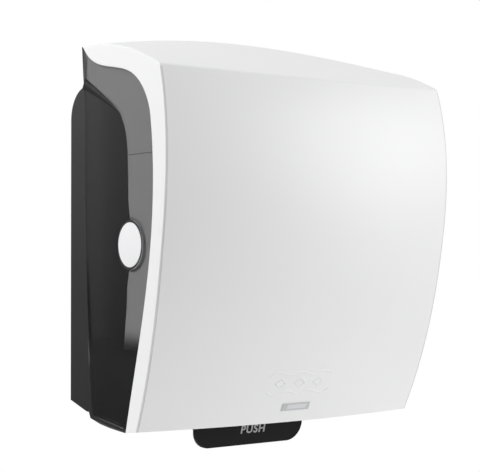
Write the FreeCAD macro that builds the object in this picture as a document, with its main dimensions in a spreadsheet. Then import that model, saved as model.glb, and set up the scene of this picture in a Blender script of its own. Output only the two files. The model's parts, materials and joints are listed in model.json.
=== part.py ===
import FreeCAD, Part
import math
import os
import re
import Sketcher

# Lever paper towel dispenser for a wall, built as a parametric document in millimetres.
# X runs to the right as seen from the front, +Y into the wall, Z up.
# The origin is the centre of the four wall screws, in the wall plane.
# Every place is given by three values: x, "deep" (distance in front of the wall, so y = -deep)
# and "up" (height above the lower edge of the front cover, so z = up - edge_drop).

sizes = {
    # ---- front cover: overall form
    "edge_drop": (210, "wall screw centre above the lower edge of the cover"),
    "paper_half": (107, "half width of the paper way, which the whole case is built round"),
    "cheek_margin": (45, "cheeks of the rear housing outside the paper way"),
    "cover_margin": (13, "front corners of the cover outside the cheeks"),
    "side_bow_radius": (3680, "radius of the slightly bowed sides, seen from the front"),
    "widest_up": (212, "height at which the cover is widest"),
    "side_flare": (2.5, "how much each side widens from the front corner to the rear edge"),
    "front_bulge": (18, "how far the middle of the front stands before its side corners"),
    "top_crown": (18, "how far the middle of the top stands above its sides, at the rear"),
    "front_crown": (-4, "the same at the front edge of the top, where the middle dips"),
    "cover_wall": (3, "wall of the front and the top"),
    "side_wall": (5.2, "wall of the white side rims"),
    "front_edge_deep": (138, "front face at its lower edge"),
    "front_low_deep": (169, "front face low down"),
    "front_low_up": (76, "height of that point"),
    "front_mid_deep": (189, "front face at half height"),
    "front_mid_up": (160, "height of that point"),
    "front_full_deep": (197, "front face where it stands furthest out"),
    "front_full_up": (235, "height of that point"),
    "brow_deep": (184, "front edge of the top"),
    "brow_up": (324, "height of that edge at the side"),
    "top_mid_deep": (117, "point half way along the top"),
    "top_mid_up": (347.5, "height of that point at the side"),
    "crest_deep": (46, "rear edge of the top"),
    "crest_up": (355, "height of that edge at the side"),
    "rear_bend_deep": (56, "rear edge of the side below the crest"),
    "rear_bend_up": (290, "height of that point"),
    "rear_foot_deep": (62, "rear edge of the side at its foot"),
    "rear_foot_up": (8, "height of that point"),
    # ---- smoked side windows
    "window_wall": (2.5, "thickness of a side window"),
    "window_gap": (0.25, "joint line round a side window"),
    "window_foot_deep": (121.5, "front edge of the window at its foot"),
    "window_low_deep": (148.5, "front edge low down"),
    "window_low_up": (76, "height of that point"),
    "window_mid_deep": (171, "front edge at half height"),
    "window_full_deep": (176.6, "front edge where it stands furthest out"),
    "window_full_up": (230, "height of that point"),
    "window_high_deep": (170.5, "front edge where the upper corner starts"),
    "window_high_up": (283, "height of that point"),
    "window_corner_deep": (159.5, "middle of the rounded upper corner"),
    "window_corner_up": (303.5, "height of that point"),
    "window_brow_deep": (139, "end of the rounded upper corner"),
    "window_brow_up": (320, "height of that point"),
    "window_slope_deep": (90, "upper edge half way back"),
    "window_slope_up": (332, "height of that point"),
    "window_back_deep": (62, "upper edge where it turns up to the crest"),
    "window_back_up": (342, "height of that point"),
    # ---- inner side walls of the cover, behind the windows
    "inner_side_foot": (80, "lower end of the white inner side wall"),
    "inner_side_gap": (19, "its rear edge in front of the cheek that it goes over"),
    "inner_side_clear": (2, "gap between its lower edge and the top of the rear housing"),
    # ---- rear housing
    "housing_wall": (2.5, "wall of its sides, top and floor"),
    "back_wall": (3, "wall that lies on the room wall"),
    "cheek_foot_deep": (101, "front edge of a cheek at its foot"),
    "cheek_deep": (112, "front edge of a cheek where it stands furthest out"),
    "cheek_up": (180, "height of that point"),
    "cheek_high_deep": (109, "front edge of a cheek below its sloping top"),
    "cheek_high_up": (258, "height of that point"),
    "cheek_slope_deep": (88, "front end of the sloping top"),
    "cheek_slope_up": (296, "height of that point"),
    "housing_up": (320, "top of the rear housing"),
    "housing_top_deep": (38, "front end of its level top"),
    "housing_rear_radius": (30, "rounding between its top and the wall"),
    "housing_rear_foot": (16, "lower edge of the housing at the wall"),
    "housing_floor_deep": (32, "bend in the floor of the housing"),
    "housing_floor_up": (8, "lower edge of the housing at that bend"),
    "cheek_foot_up": (4, "lower edge of a cheek at its front"),
    # ---- wall screws
    "screw_spread_x": (200, "wall screws, across"),
    "screw_spread_z": (140, "wall screws, up and down"),
    "screw_hole": (3.25, "radius of a wall screw hole"),
    "screw_pad": (9, "radius of the raised pad round a wall screw hole"),
    "screw_pad_rise": (1.5, "height of that pad"),
    "lip_up": (346, "upper edge of the dust lip on the housing, at its ends"),
    "lip_crown": (14, "how far its middle stands higher"),
    "lip_setback": (2, "side edge of the dust lip inside the cheeks"),
    # ---- mechanism frame
    "frame_margin": (9, "inner face of a side frame outside the paper way"),
    "frame_wall": (3, "thickness of a side frame"),
    "frame_rear_deep": (3.2, "rear edge of the side frames"),
    "frame_foot_up": (20, "lower rear corner of the side frames"),
    "frame_up": (130, "top of the side frames"),
    "frame_top_deep": (70, "front end of their top"),
    "frame_front_deep": (112, "front edge of the side frames"),
    "frame_lip_up": (54, "upper end of that front edge"),
    "frame_tab": (11, "width of the foot that a side frame is screwed down by"),
    "frame_screw": (1.6, "radius of a frame screw"),
    "top_plate_wall": (2.5, "thickness of the plate over the mechanism"),
    "inlet_near": (28, "rear edge of the paper inlet"),
    "inlet_far": (48, "front edge of the paper inlet"),
    # ---- feed roller and its gear
    "roller_deep": (58, "axis of the feed roller"),
    "roller_up": (92.7, "height of that axis"),
    "roller_radius": (20, "rubber surface of the feed roller"),
    "roller_core": (14, "plastic core under the rubber"),
    "sleeve_half": (28, "half length of a rubber sleeve on the feed roller"),
    "sleeve_margin": (3, "outer sleeves inside the edge of the paper way"),
    "shaft_radius": (4, "steel shafts and the lever axle"),
    "shaft_play": (0.05, "radial play of a shaft in its bore"),
    "bush_radius": (6.45, "outside of a bush"),
    "bush_flange": (9, "flange of a bush"),
    "bush_flange_wall": (1.2, "thickness of that flange"),
    "bush_play": (0.05, "radial play of a bush in its frame"),
    "gear_module": (1, "module of the drive gears"),
    "pinion_teeth": (18, "teeth of the drive gear on the roller shaft"),
    "sector_teeth": (120, "teeth that the lever sector would have as a full wheel"),
    "gear_gap": (3, "gears outside the side frame"),
    "sector_wall": (6, "width of the lever sector"),
    "pinion_wall": (7, "width of the drive gear"),
    "pawl_disc": (15, "disc on the drive gear that carries the pawl"),
    "pawl_disc_wall": (1.8, "thickness of that disc"),
    "ratchet_radius": (9, "tips of the ratchet wheel"),
    "ratchet_root": (7, "roots of the ratchet wheel"),
    "ratchet_teeth": (12, "teeth of the ratchet wheel"),
    "ratchet_wall": (4, "width of the ratchet wheel"),
    "knob_radius": (15, "hand wheel for feeding paper"),
    "knob_wall": (12, "width of the hand wheel"),
    "knob_flutes": (20, "grooves round the hand wheel"),
    # ---- pinch rollers
    "pinch_deep": (28, "axis of the pinch rollers"),
    "pinch_radius": (9.8, "rubber surface of a pinch roller"),
    "pinch_axle": (3, "axle of the pinch rollers"),
    "pinch_half": (22, "half length of a pinch roller"),
    "pinch_pivot_deep": (12, "axis that the pinch yoke turns on"),
    "pinch_pivot_up": (121, "height of that axis"),
    "yoke_margin": (3, "inner face of a yoke arm outside the paper way"),
    "yoke_wall": (3, "thickness of a yoke arm"),
    "yoke_bar_drop": (24, "lower edge of the yoke's bar below its pivot"),
    "pinch_spring_drop": (19, "axis of the pinch springs below that pivot"),
    "pinch_spring_x": (50, "pinch springs from the middle"),
    # ---- paper guides and tear bar
    "guide_wall": (2, "thickness of a paper guide"),
    "front_guide_deep": (41, "paper side of the front guide"),
    "rear_guide_deep": (32, "paper side of the rear guide"),
    "guide_foot_up": (12, "lower edge of both guides"),
    "front_guide_up": (67, "upper edge of the front guide"),
    "rear_guide_up": (79, "upper edge of the rear guide"),
    "tear_margin": (3, "ends of the tear bar inside the edge of the paper way"),
    "tear_screw_margin": (14, "outer screws of the tear bar from its ends"),
    "tear_wall": (1.2, "thickness of the tear bar"),
    "tear_foot_up": (-1, "tips of its teeth"),
    "tear_tooth": (4, "pitch of its teeth"),
    "tear_tooth_rise": (2.6, "height of its teeth"),
    "tear_up": (24, "upper edge of the tear bar"),
    # ---- push lever
    "lever_deep": (100, "axis of the push lever"),
    "lever_up": (38, "height of that axis"),
    "lever_half": (65, "half width of the paddle"),
    "paddle_wall": (3, "thickness of the paddle"),
    "paddle_foot_deep": (86, "face of the paddle at its lower edge"),
    "paddle_foot_up": (-30, "lower edge of the paddle"),
    "paddle_corner": (18, "rounding of its lower corners"),
    "lever_arm_margin": (7, "inner face of a lever arm inside the edge of the paddle"),
    "lever_arm_wall": (3.5, "thickness of a lever arm"),
    "lever_boss": (8.5, "tube of the lever round its axle"),
    "lever_swing": (26, "travel of the lever in degrees"),
    "lever_hole_gap": (5, "gap beside the paddle in the notch that it hangs through"),
    "lever_spring_length": (12, "length of a lever spring along its axle"),
    # ---- roll holder arms
    "roll_deep": (103, "centre of the paper roll"),
    "roll_up": (235, "height of that centre"),
    "arm_pivot_out": (3.5, "upright axis of a roll arm outside its inner face"),
    "arm_pivot_deep": (14, "the same axis, in front of the wall"),
    "arm_wall": (4, "thickness of a roll arm"),
    "arm_pin": (2.5, "radius of the pin of a roll arm"),
    "arm_barrel": (6, "radius of the barrel round that pin"),
    "arm_disc": (17, "round end of a roll arm"),
    "hub_radius": (18.5, "nose of a roll hub, inside the core of the roll"),
    "hub_flange": (27, "flange of a roll hub"),
    "hub_flange_wall": (3, "thickness of that flange"),
    "hub_length": (11.5, "hub from its face beside the roll to the arm"),
    "hub_nose": (10, "length of the nose"),
    "stub_radius": (5, "stub on the arm that the hub turns on"),
    "stub_head": (6, "snap head that keeps the hub on its stub"),
    "stub_head_wall": (1.8, "thickness of that head"),
    # ---- release buttons and latches
    "button_deep": (137, "centre of a release button"),
    "button_up": (167, "height of that centre"),
    "button_radius": (20, "release button"),
    "button_proud": (0.6, "how far the button stands out of the window"),
    "button_wall": (3.4, "thickness of the button's disc"),
    "button_stem": (6, "stem behind the disc"),
    "button_play": (0.35, "gap round the button"),
    "cup_wall": (2.2, "wall of the cup that the button runs in"),
    "cup_depth": (10.7, "depth of the cup under the side of the cover"),
    "latch_pivot_in": (0.6, "upright axis of a latch inside the cheek's outer face"),
    "latch_pivot_deep": (166, "the same axis, in front of the wall"),
    "latch_wall": (3, "thickness of a latch arm"),
    "latch_half": (6, "half height of a latch arm"),
    "latch_tip_deep": (98, "end of the latch arm"),
    "latch_gap": (0.5, "gap between the latch arm and the cheek"),
    "latch_nose": (2.4, "how far the nose of the latch stands out"),
    "latch_nose_length": (7, "length of that nose"),
    "latch_play": (0.5, "play of the nose behind the edge of its slot"),
    "latch_tail": (10, "tail of the latch in front of its pivot, which its spring pushes"),
    "latch_pin": (1.5, "radius of the pin of a latch"),
    # ---- cover hinge
    "hinge_deep": (60, "axis that the cover turns on"),
    "hinge_up": (22, "height of that axis"),
    "hinge_pin": (4, "radius of a hinge pin"),
    "hinge_arm_gap": (2.3, "gap between a hinge arm and the cheek"),
    "hinge_arm_wall": (3.2, "thickness of a hinge arm"),
    "hinge_arm_up": (79, "upper edge of a hinge arm"),
    # ---- bottom tray and badge
    "tray_margin": (2, "ends of the bottom tray inside the cheeks"),
    "paper_way": (30, "how high the floor of the housing stays open for the paper"),
    "tray_under": (0.4, "how far the tray lies below the cover's edge"),
    "tray_wall": (2.5, "thickness of the tray"),
    "tray_setback": (4.2, "tray edge behind the front of the cover"),
    "tray_rear_deep": (95, "rear edge of the tray"),
    "tray_notch_deep": (118, "front edge of the notch for the lever"),
    "tray_screw_margin": (24, "screws that hold the tray, inside the cheeks"),
    "badge_half": (16, "half width of the small badge plate"),
    "badge_foot_up": (11.5, "lower edge of the badge plate"),
    "badge_rise": (7, "height of the badge plate"),
    "badge_wall": (0.6, "how far the badge stands out"),
    # ---- springs
    "wire": (0.8, "radius of the spring wire"),
}

doc = FreeCAD.newDocument("lever_towel_dispenser")
sheet = doc.addObject("Spreadsheet::Sheet", "Sheet")
for row, (alias, (value, note)) in enumerate(sizes.items(), start=1):
    sheet.set("A%d" % row, note)
    sheet.set("B%d" % row, str(value))
    sheet.setAlias("B%d" % row, alias)
doc.recompute()

dim = {alias: float(sheet.get(alias)) for alias in sizes}

# Sizes that follow from the ones in the sheet, each as a sum of them.
follows = {
    "housing_half": "paper_half + cheek_margin",
    "cover_half": "housing_half + cover_margin",
    "frame_inside": "paper_half + frame_margin",
    "gear_start": "frame_inside + frame_wall + gear_gap",
    "yoke_inside": "paper_half + yoke_margin",
    "sleeve_x": "paper_half - sleeve_margin - sleeve_half",
    "tear_half": "paper_half - tear_margin",
    "arm_inside": "paper_half + hub_length",
    "arm_pivot_x": "arm_inside + arm_pivot_out",
    "lever_arm_x": "lever_half - lever_arm_margin",
    "lever_hole_half": "lever_half + lever_hole_gap",
    "hinge_arm_x": "housing_half + hinge_arm_gap",
    "latch_pivot_x": "housing_half - latch_pivot_in",
    "tray_half": "housing_half - tray_margin",
    "tray_screw_x": "housing_half - tray_screw_margin",
}
for alias, text in follows.items():
    signed = text.replace("- ", "-").replace("+ ", "").split()
    dim[alias] = sum(-dim[word[1:]] if word[0] == "-" else dim[word] for word in signed)
parts = []


# ---------------------------------------------------------------- helpers

def cells(text):
    """An expression with each size name turned into its cell of the sheet, or into its sum of cells."""
    def cell(word):
        name = word.group(0)
        if name in follows:
            return "(%s)" % cells(follows[name])
        return "Sheet." + name if name in sizes else name
    return re.sub(r"[a-z][a-z_0-9]*", cell, str(text))


def bind(obj, prop, text):
    obj.setExpression(prop, cells(text))


def place(obj, x, deep, up):
    """Bind the place of a primitive: x, distance before the wall, height over the cover's edge."""
    bind(obj, "Placement.Base.x", x)
    bind(obj, "Placement.Base.y", "-(%s)" % deep)
    bind(obj, "Placement.Base.z", "%s - edge_drop" % up)


def block(name, x0, x1, deep0, deep1, up0, up1):
    obj = doc.addObject("Part::Box", name)
    bind(obj, "Length", "(%s) - (%s)" % (x1, x0))
    bind(obj, "Width", "(%s) - (%s)" % (deep1, deep0))
    bind(obj, "Height", "(%s) - (%s)" % (up1, up0))
    place(obj, x0, deep1, up0)
    return obj


def rod_x(name, radius, x0, x1, deep, up):
    """A cylinder along X."""
    obj = doc.addObject("Part::Cylinder", name)
    obj.Placement = FreeCAD.Placement(FreeCAD.Vector(), FreeCAD.Rotation(FreeCAD.Vector(0, 1, 0), 90))
    bind(obj, "Radius", radius)
    bind(obj, "Height", "(%s) - (%s)" % (x1, x0))
    place(obj, x0, deep, up)
    return obj


def rod_y(name, radius, x, up, deep0, deep1):
    """A cylinder along Y, from deep0 to deep1 before the wall."""
    obj = doc.addObject("Part::Cylinder", name)
    obj.Placement = FreeCAD.Placement(FreeCAD.Vector(), FreeCAD.Rotation(FreeCAD.Vector(1, 0, 0), 90))
    bind(obj, "Radius", radius)
    bind(obj, "Height", "(%s) - (%s)" % (deep1, deep0))
    place(obj, x, deep0, up)
    return obj


def rod_z(name, radius, x, deep, up0, up1):
    """A cylinder along Z."""
    obj = doc.addObject("Part::Cylinder", name)
    bind(obj, "Radius", radius)
    bind(obj, "Height", "(%s) - (%s)" % (up1, up0))
    place(obj, x, deep, up0)
    return obj


def fuse(name, *solids):
    obj = doc.addObject("Part::MultiFuse", name)
    obj.Shapes = list(solids)
    return obj


def cut(name, base, *tools):
    tool = tools[0] if len(tools) == 1 else fuse(name + "_tools", *tools)
    obj = doc.addObject("Part::Cut", name)
    obj.Base = base
    obj.Tool = tool
    return obj


def common(name, first, second):
    obj = doc.addObject("Part::MultiCommon", name)
    obj.Shapes = [first, second]
    return obj


def mirror(name, source):
    """The same piece on the other side of the middle plane."""
    obj = doc.addObject("Part::Mirroring", name)
    obj.Source = source
    obj.Normal = (1, 0, 0)
    obj.Base = (0, 0, 0)
    return obj


def fillet(name, base, radius, pick):
    """Round the edges of base that pick(edge) names."""
    doc.recompute()
    obj = doc.addObject("Part::Fillet", name)
    obj.Base = base
    edges = [index for index, edge in enumerate(base.Shape.Edges, start=1) if pick(edge)]
    obj.Edges = [(index, radius, radius) for index in edges]
    return obj


def solid(name, shape):
    """A piece whose form is worked out by Part's own functions."""
    obj = doc.addObject("Part::Feature", name)
    obj.Shape = shape
    return obj


def piece(name, obj):
    """Name a finished sub-part: its label is the name of its node."""
    obj.Label = name
    parts.append(obj)
    return obj


def pair(name, right):
    """A right piece and its mirror image on the left."""
    piece(name + "_right", right)
    piece(name + "_left", mirror(name + "_left", right))
    return right


def outline(sketch, corners):
    """A closed polygon whose corners are bound to the sheet, both coordinates each."""
    count = len(corners)
    turn = [FreeCAD.Vector(math.cos(2 * math.pi * k / count), math.sin(2 * math.pi * k / count), 0)
            for k in range(count)]
    lines = [sketch.addGeometry(Part.LineSegment(turn[k], turn[(k + 1) % count]), False)
             for k in range(count)]
    for k in range(count):
        sketch.addConstraint(Sketcher.Constraint("Coincident", lines[k], 2, lines[(k + 1) % count], 1))
    for k, (first, second) in enumerate(corners):
        for kind, text in (("DistanceX", first), ("DistanceY", second)):
            index = sketch.addConstraint(Sketcher.Constraint(kind, -1, 1, lines[k], 1, float(k + 1)))
            bind(sketch, "Constraints[%d]" % index, text)


def rounds(sketch, circles):
    """Round holes bound to the sheet: two coordinates and a radius each."""
    for first, second, radius in circles:
        ring = sketch.addGeometry(Part.Circle(FreeCAD.Vector(1, 1, 0), FreeCAD.Vector(0, 0, 1), 1), False)
        for kind, text in (("DistanceX", first), ("DistanceY", second)):
            index = sketch.addConstraint(Sketcher.Constraint(kind, -1, 1, ring, 3, 1.0))
            bind(sketch, "Constraints[%d]" % index, text)
        index = sketch.addConstraint(Sketcher.Constraint("Radius", ring, 1.0))
        bind(sketch, "Constraints[%d]" % index, radius)


def pad(name, plane, start, length, corners, holes=(), windows=()):
    """A body: one sketch on a plane of its own origin, moved by start and padded by length."""
    body = doc.addObject("PartDesign::Body", name)
    sketch = body.newObject("Sketcher::SketchObject", name + "_sketch")
    sketch.AttachmentSupport = [([face for face in body.Origin.OriginFeatures if face.Role == plane][0], "")]
    sketch.MapMode = "FlatFace"
    bind(sketch, "AttachmentOffset.Base.z", start)
    outline(sketch, corners)
    for window in windows:
        outline(sketch, window)
    rounds(sketch, holes)
    feature = body.newObject("PartDesign::Pad", name + "_pad")
    feature.Profile = sketch
    bind(feature, "Length", length)
    return body


def plate_x(name, x0, x1, corners, holes=(), windows=()):
    """A plate square to X, drawn as seen from the side: corners are (deep, up)."""
    def seen(points):
        return [("-(%s)" % point[0], "%s - edge_drop" % point[1]) + tuple(point[2:]) for point in points]
    return pad(name, "YZ_Plane", x0, "(%s) - (%s)" % (x1, x0), seen(corners), seen(holes),
               [seen(window) for window in windows])


def plate_y(name, deep0, deep1, corners, holes=(), windows=()):
    """A plate square to Y, drawn as seen from the front: corners are (x, up)."""
    def seen(points):
        return [(point[0], "%s - edge_drop" % point[1]) + tuple(point[2:]) for point in points]
    return pad(name, "XZ_Plane", deep0, "(%s) - (%s)" % (deep1, deep0), seen(corners), seen(holes),
               [seen(window) for window in windows])


def plate_z(name, up0, up1, corners, holes=(), windows=()):
    """A plate square to Z, drawn as seen from above: corners are (x, deep)."""
    def seen(points):
        return [(point[0], "-(%s)" % point[1]) + tuple(point[2:]) for point in points]
    return pad(name, "XY_Plane", "%s - edge_drop" % up0, "(%s) - (%s)" % (up1, up0), seen(corners),
               seen(holes), [seen(window) for window in windows])


def ring_x(name, outer, inner, x0, x1, deep, up):
    """A tube along X."""
    return cut(name, rod_x(name + "_outer", outer, x0, x1, deep, up),
               rod_x(name + "_bore", inner, x0, x1, deep, up))


def point(x, deep, up):
    return FreeCAD.Vector(x, -deep, up - dim["edge_drop"])


def curve(points):
    """A smooth edge through a few points."""
    spline = Part.BSplineCurve()
    spline.interpolate(points)
    return spline.toShape()


def coil(radius, wire, turns, length, arcs_per_turn=3):
    """A round-wire helix about Z, from z = 0 to z = length, swept one arc at a time.

    With arcs_per_turn = 0 the whole helix is one sweep, which a leg can be fused to.
    """
    count = max(1, math.ceil(arcs_per_turn * turns))
    path = []
    for k in range(count):
        arc = Part.makeHelix(length / turns, length / count, radius)
        arc.rotate(FreeCAD.Vector(), FreeCAD.Vector(0, 0, 1), 360 * turns * k / count)
        arc.translate(FreeCAD.Vector(0, 0, length * k / count))
        path += arc.Edges
    ring = Part.Wire([Part.makeCircle(wire, FreeCAD.Vector(radius, 0, 0), FreeCAD.Vector(0, 1, 0))])
    return Part.Wire(path).makePipeShell([ring], True, True)


def torsion_spring(radius, wire, turns, length, first_leg, last_leg):
    """A coil about Z with a straight leg leaving each end at a tangent.

    The first leg leaves from angle 0 towards -Y, the last one onwards from the end of the helix.
    """
    angle = 2 * math.pi * turns
    first = Part.makeCylinder(wire, first_leg, FreeCAD.Vector(radius, 0, 0), FreeCAD.Vector(0, -1, 0))
    last = Part.makeCylinder(wire, last_leg,
                             FreeCAD.Vector(radius * math.cos(angle), radius * math.sin(angle), length),
                             FreeCAD.Vector(-math.sin(angle), math.cos(angle), 0))
    return coil(radius, wire, turns, length, 0).fuse([first, last])


# ---------------------------------------------------------------- front cover

def half_width(deep, up):
    """Half width of the cover: bowed as seen from the front, flared towards the wall."""
    bow = (up - dim["widest_up"]) ** 2 / (2 * dim["side_bow_radius"])
    flare = dim["side_flare"] * (dim["front_full_deep"] - deep) / (dim["front_full_deep"] - dim["crest_deep"])
    return dim["cover_half"] - bow + flare


def side_section(x, inset):
    """The closed side section of the cover at x, moved inwards by inset.

    The front bulges and the top is crowned as a parabola across the width. With an inset the
    section also runs on past the foot and the rear, so that it can hollow the cover out.
    """
    share = 1 - (x / dim["cover_half"]) ** 2
    bulge = dim["front_bulge"] * share - inset
    brow = dim["front_crown"] * share - inset
    crest = dim["top_crown"] * share - inset
    middle = (brow + crest) / 2
    foot = point(x, dim["front_edge_deep"] + bulge, 0)
    front = curve([foot,
                   point(x, dim["front_low_deep"] + bulge, dim["front_low_up"]),
                   point(x, dim["front_mid_deep"] + bulge, dim["front_mid_up"]),
                   point(x, dim["front_full_deep"] + bulge, dim["front_full_up"]),
                   point(x, dim["brow_deep"] + bulge, dim["brow_up"] + brow)])
    top = Part.Arc(point(x, dim["brow_deep"] + bulge, dim["brow_up"] + brow),
                   point(x, dim["top_mid_deep"] + bulge / 2, dim["top_mid_up"] + middle),
                   point(x, dim["crest_deep"], dim["crest_up"] + crest)).toShape()
    if inset > 0:
        reach = dim["edge_drop"] / 10
        rest = [point(x, dim["crest_deep"], dim["crest_up"] + crest),
                point(x, 0, dim["crest_up"] + crest),
                point(x, 0, -reach),
                point(x, dim["front_edge_deep"] + bulge - reach / 2, -reach),
                foot]
    else:
        rest = [point(x, dim["crest_deep"], dim["crest_up"] + crest),
                point(x, dim["rear_bend_deep"], dim["rear_bend_up"]),
                point(x, dim["rear_foot_deep"], dim["rear_foot_up"]),
                foot]
    lines = [Part.makeLine(rest[k], rest[k + 1]) for k in range(len(rest) - 1)]
    return Part.Wire([front, top] + lines)


def cover_form(inset):
    """The body of the cover between its front and top, before its sides are trimmed."""
    reach = dim["cover_half"] + 2 * dim["side_flare"]
    return Part.makeLoft([side_section(x, inset) for x in (-reach, 0, reach)], True, False)


def between_sides(inset):
    """All that lies between the two bowed, flared sides of the cover, moved in by inset."""
    far = dim["front_full_deep"] + dim["front_bulge"] + 10
    low = -dim["edge_drop"] / 5
    high = 2 * dim["widest_up"] - low
    frames = []
    for deep in (far, 0):
        corner = half_width(deep, low) - inset
        waist = half_width(deep, dim["widest_up"]) - inset
        right = Part.Arc(point(corner, deep, low), point(waist, deep, dim["widest_up"]),
                         point(corner, deep, high)).toShape()
        left = Part.Arc(point(-corner, deep, high), point(-waist, deep, dim["widest_up"]),
                        point(-corner, deep, low)).toShape()
        frames.append(Part.Wire([right, Part.makeLine(point(corner, deep, high), point(-corner, deep, high)),
                                 left, Part.makeLine(point(-corner, deep, low), point(corner, deep, low))]))
    return Part.makeLoft(frames, True, True)


def side_prism(points_or_edges, reach):
    """A prism along X through both sides, from an outline in the plane x = 0."""
    face = Part.Face(Part.Wire(points_or_edges))
    face.translate(FreeCAD.Vector(-reach, 0, 0))
    return face.extrude(FreeCAD.Vector(2 * reach, 0, 0))


def window_outline(gap):
    """The side window seen from the side, its front and upper edges drawn in by gap."""
    foot = point(0, dim["window_foot_deep"] - gap, 0)
    high = point(0, dim["window_high_deep"] - gap, dim["window_high_up"])
    corner = point(0, dim["window_corner_deep"] - gap, dim["window_corner_up"] - gap)
    brow = point(0, dim["window_brow_deep"], dim["window_brow_up"] - gap)
    back = point(0, dim["window_back_deep"], dim["window_back_up"] - gap)
    crest = point(0, dim["crest_deep"] + 2, dim["crest_up"] - gap)
    front = curve([foot,
                   point(0, dim["window_low_deep"] - gap, dim["window_low_up"]),
                   point(0, dim["window_mid_deep"] - gap, dim["front_mid_up"]),
                   point(0, dim["window_full_deep"] - gap, dim["window_full_up"]),
                   high])
    upper = curve([brow, point(0, dim["window_slope_deep"], dim["window_slope_up"] - gap), back, crest])
    under = point(0, dim["window_foot_deep"] - gap, -dim["edge_drop"])
    wall_foot = point(0, 0, -dim["edge_drop"])
    wall_top = point(0, 0, dim["crest_up"] - gap)
    return [front, Part.Arc(high, corner, brow).toShape(), upper,
            Part.makeLine(crest, wall_top), Part.makeLine(wall_top, wall_foot),
            Part.makeLine(wall_foot, under), Part.makeLine(under, foot)]


def polygon(points):
    return Part.makePolygon(points + points[:1]).Edges


def cheek_shadow():
    """Where the inner side wall of the cover is left away: the space of the cheek and below."""
    gap = dim["inner_side_gap"]
    top = dim["housing_up"] + dim["inner_side_clear"]
    far = dim["cover_half"] + dim["edge_drop"]
    return polygon([point(0, 0, -dim["edge_drop"]),
                    point(0, far, -dim["edge_drop"]),
                    point(0, far, dim["inner_side_foot"]),
                    point(0, dim["cheek_foot_deep"] + gap, dim["inner_side_foot"]),
                    point(0, dim["cheek_deep"] + gap, dim["cheek_up"]),
                    point(0, dim["cheek_high_deep"] + gap, dim["cheek_high_up"]),
                    point(0, dim["cheek_slope_deep"] + gap, dim["cheek_slope_up"]),
                    point(0, dim["housing_top_deep"] + gap, top),
                    point(0, 0, top)])


def button_hole(radius):
    """The way of the two release buttons through the sides."""
    reach = dim["cover_half"] + 4 * dim["side_flare"]
    return Part.makeCylinder(radius, 2 * reach, point(-reach, dim["button_deep"], dim["button_up"]),
                             FreeCAD.Vector(1, 0, 0))


def front_cover():
    """The white shell: front, top, two side rims and the inner side walls behind the windows."""
    reach = dim["cover_half"] + 4 * dim["side_flare"]
    body = cover_form(0).common(between_sides(0))
    hollow = cover_form(dim["cover_wall"]).common(between_sides(dim["side_wall"]))
    shell = body.cut(hollow)
    window_space = side_prism(window_outline(0), reach)
    shell = shell.cut(window_space.cut(between_sides(dim["window_wall"] + dim["window_gap"])))
    behind = side_prism(cheek_shadow(), reach).common(window_space)
    shell = shell.cut(behind.cut(between_sides(dim["side_wall"] + 1)))
    return shell.cut(button_hole(cup_radius() + dim["window_gap"]))


def side_windows():
    """The two smoked side panels, each set into its rim and running back to the rear edge."""
    reach = dim["cover_half"] + 4 * dim["side_flare"]
    sheet_pair = cover_form(0).common(between_sides(0)).cut(between_sides(dim["window_wall"]))
    sheet_pair = sheet_pair.common(side_prism(window_outline(dim["window_gap"]), reach))
    sheet_pair = sheet_pair.cut(button_hole(cup_radius() + dim["window_gap"]))
    return sorted(sheet_pair.Solids, key=lambda item: item.CenterOfMass.x)


def badge_plate():
    """A thin plain plate on the lower middle of the front, following its curve."""
    skin = cover_form(-dim["badge_wall"]).cut(cover_form(0))
    low = dim["badge_foot_up"]
    spot = Part.makeBox(2 * dim["badge_half"], 2 * dim["front_edge_deep"], dim["badge_rise"],
                        point(-dim["badge_half"], 3 * dim["front_edge_deep"], low))
    plate = skin.common(spot)
    return max(plate.Solids, key=lambda item: item.Volume)


def cup_radius():
    return dim["button_radius"] + dim["button_play"] + dim["cup_wall"]


def build_cover():
    piece("front_cover", solid("front_cover", front_cover()))
    left, right = side_windows()
    piece("side_window_left", solid("side_window_left", left))
    piece("side_window_right", solid("side_window_right", right))
    piece("badge_plate", solid("badge_plate", badge_plate()))


# ---------------------------------------------------------------- cover hinge

def build_hinge():
    """Black arms behind the windows carry the cover on two pins in the cheeks."""
    x1 = "hinge_arm_x + hinge_arm_wall"
    rim = "0.3"
    arm = plate_x("hinge_arm", "hinge_arm_x", x1,
                  [("hinge_deep - 9", "hinge_up - 6"),
                   ("hinge_deep", "hinge_up - 11"),
                   ("window_foot_deep - 2", "3"),
                   ("window_low_deep - 4", "hinge_arm_up - 2"),
                   ("window_low_deep - 6", "hinge_arm_up"),
                   ("cheek_deep - 3", "hinge_arm_up"),
                   ("hinge_deep - 9", "hinge_up + 9")],
                  holes=[("hinge_deep", "hinge_up", "hinge_pin + shaft_play")])
    pair("hinge_arm", arm)
    inner = "housing_half - housing_wall - 9"
    pins = [rod_x("hinge_pin_%s" % side, "hinge_pin", start, end, "hinge_deep", "hinge_up")
            for side, start, end in (("right", inner, x1 + " - " + rim),
                                     ("left", "-(%s - %s)" % (x1, rim), "-(%s)" % inner))]
    piece("hinge_pins", fuse("hinge_pins", *pins))


# ---------------------------------------------------------------- rear housing

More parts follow.
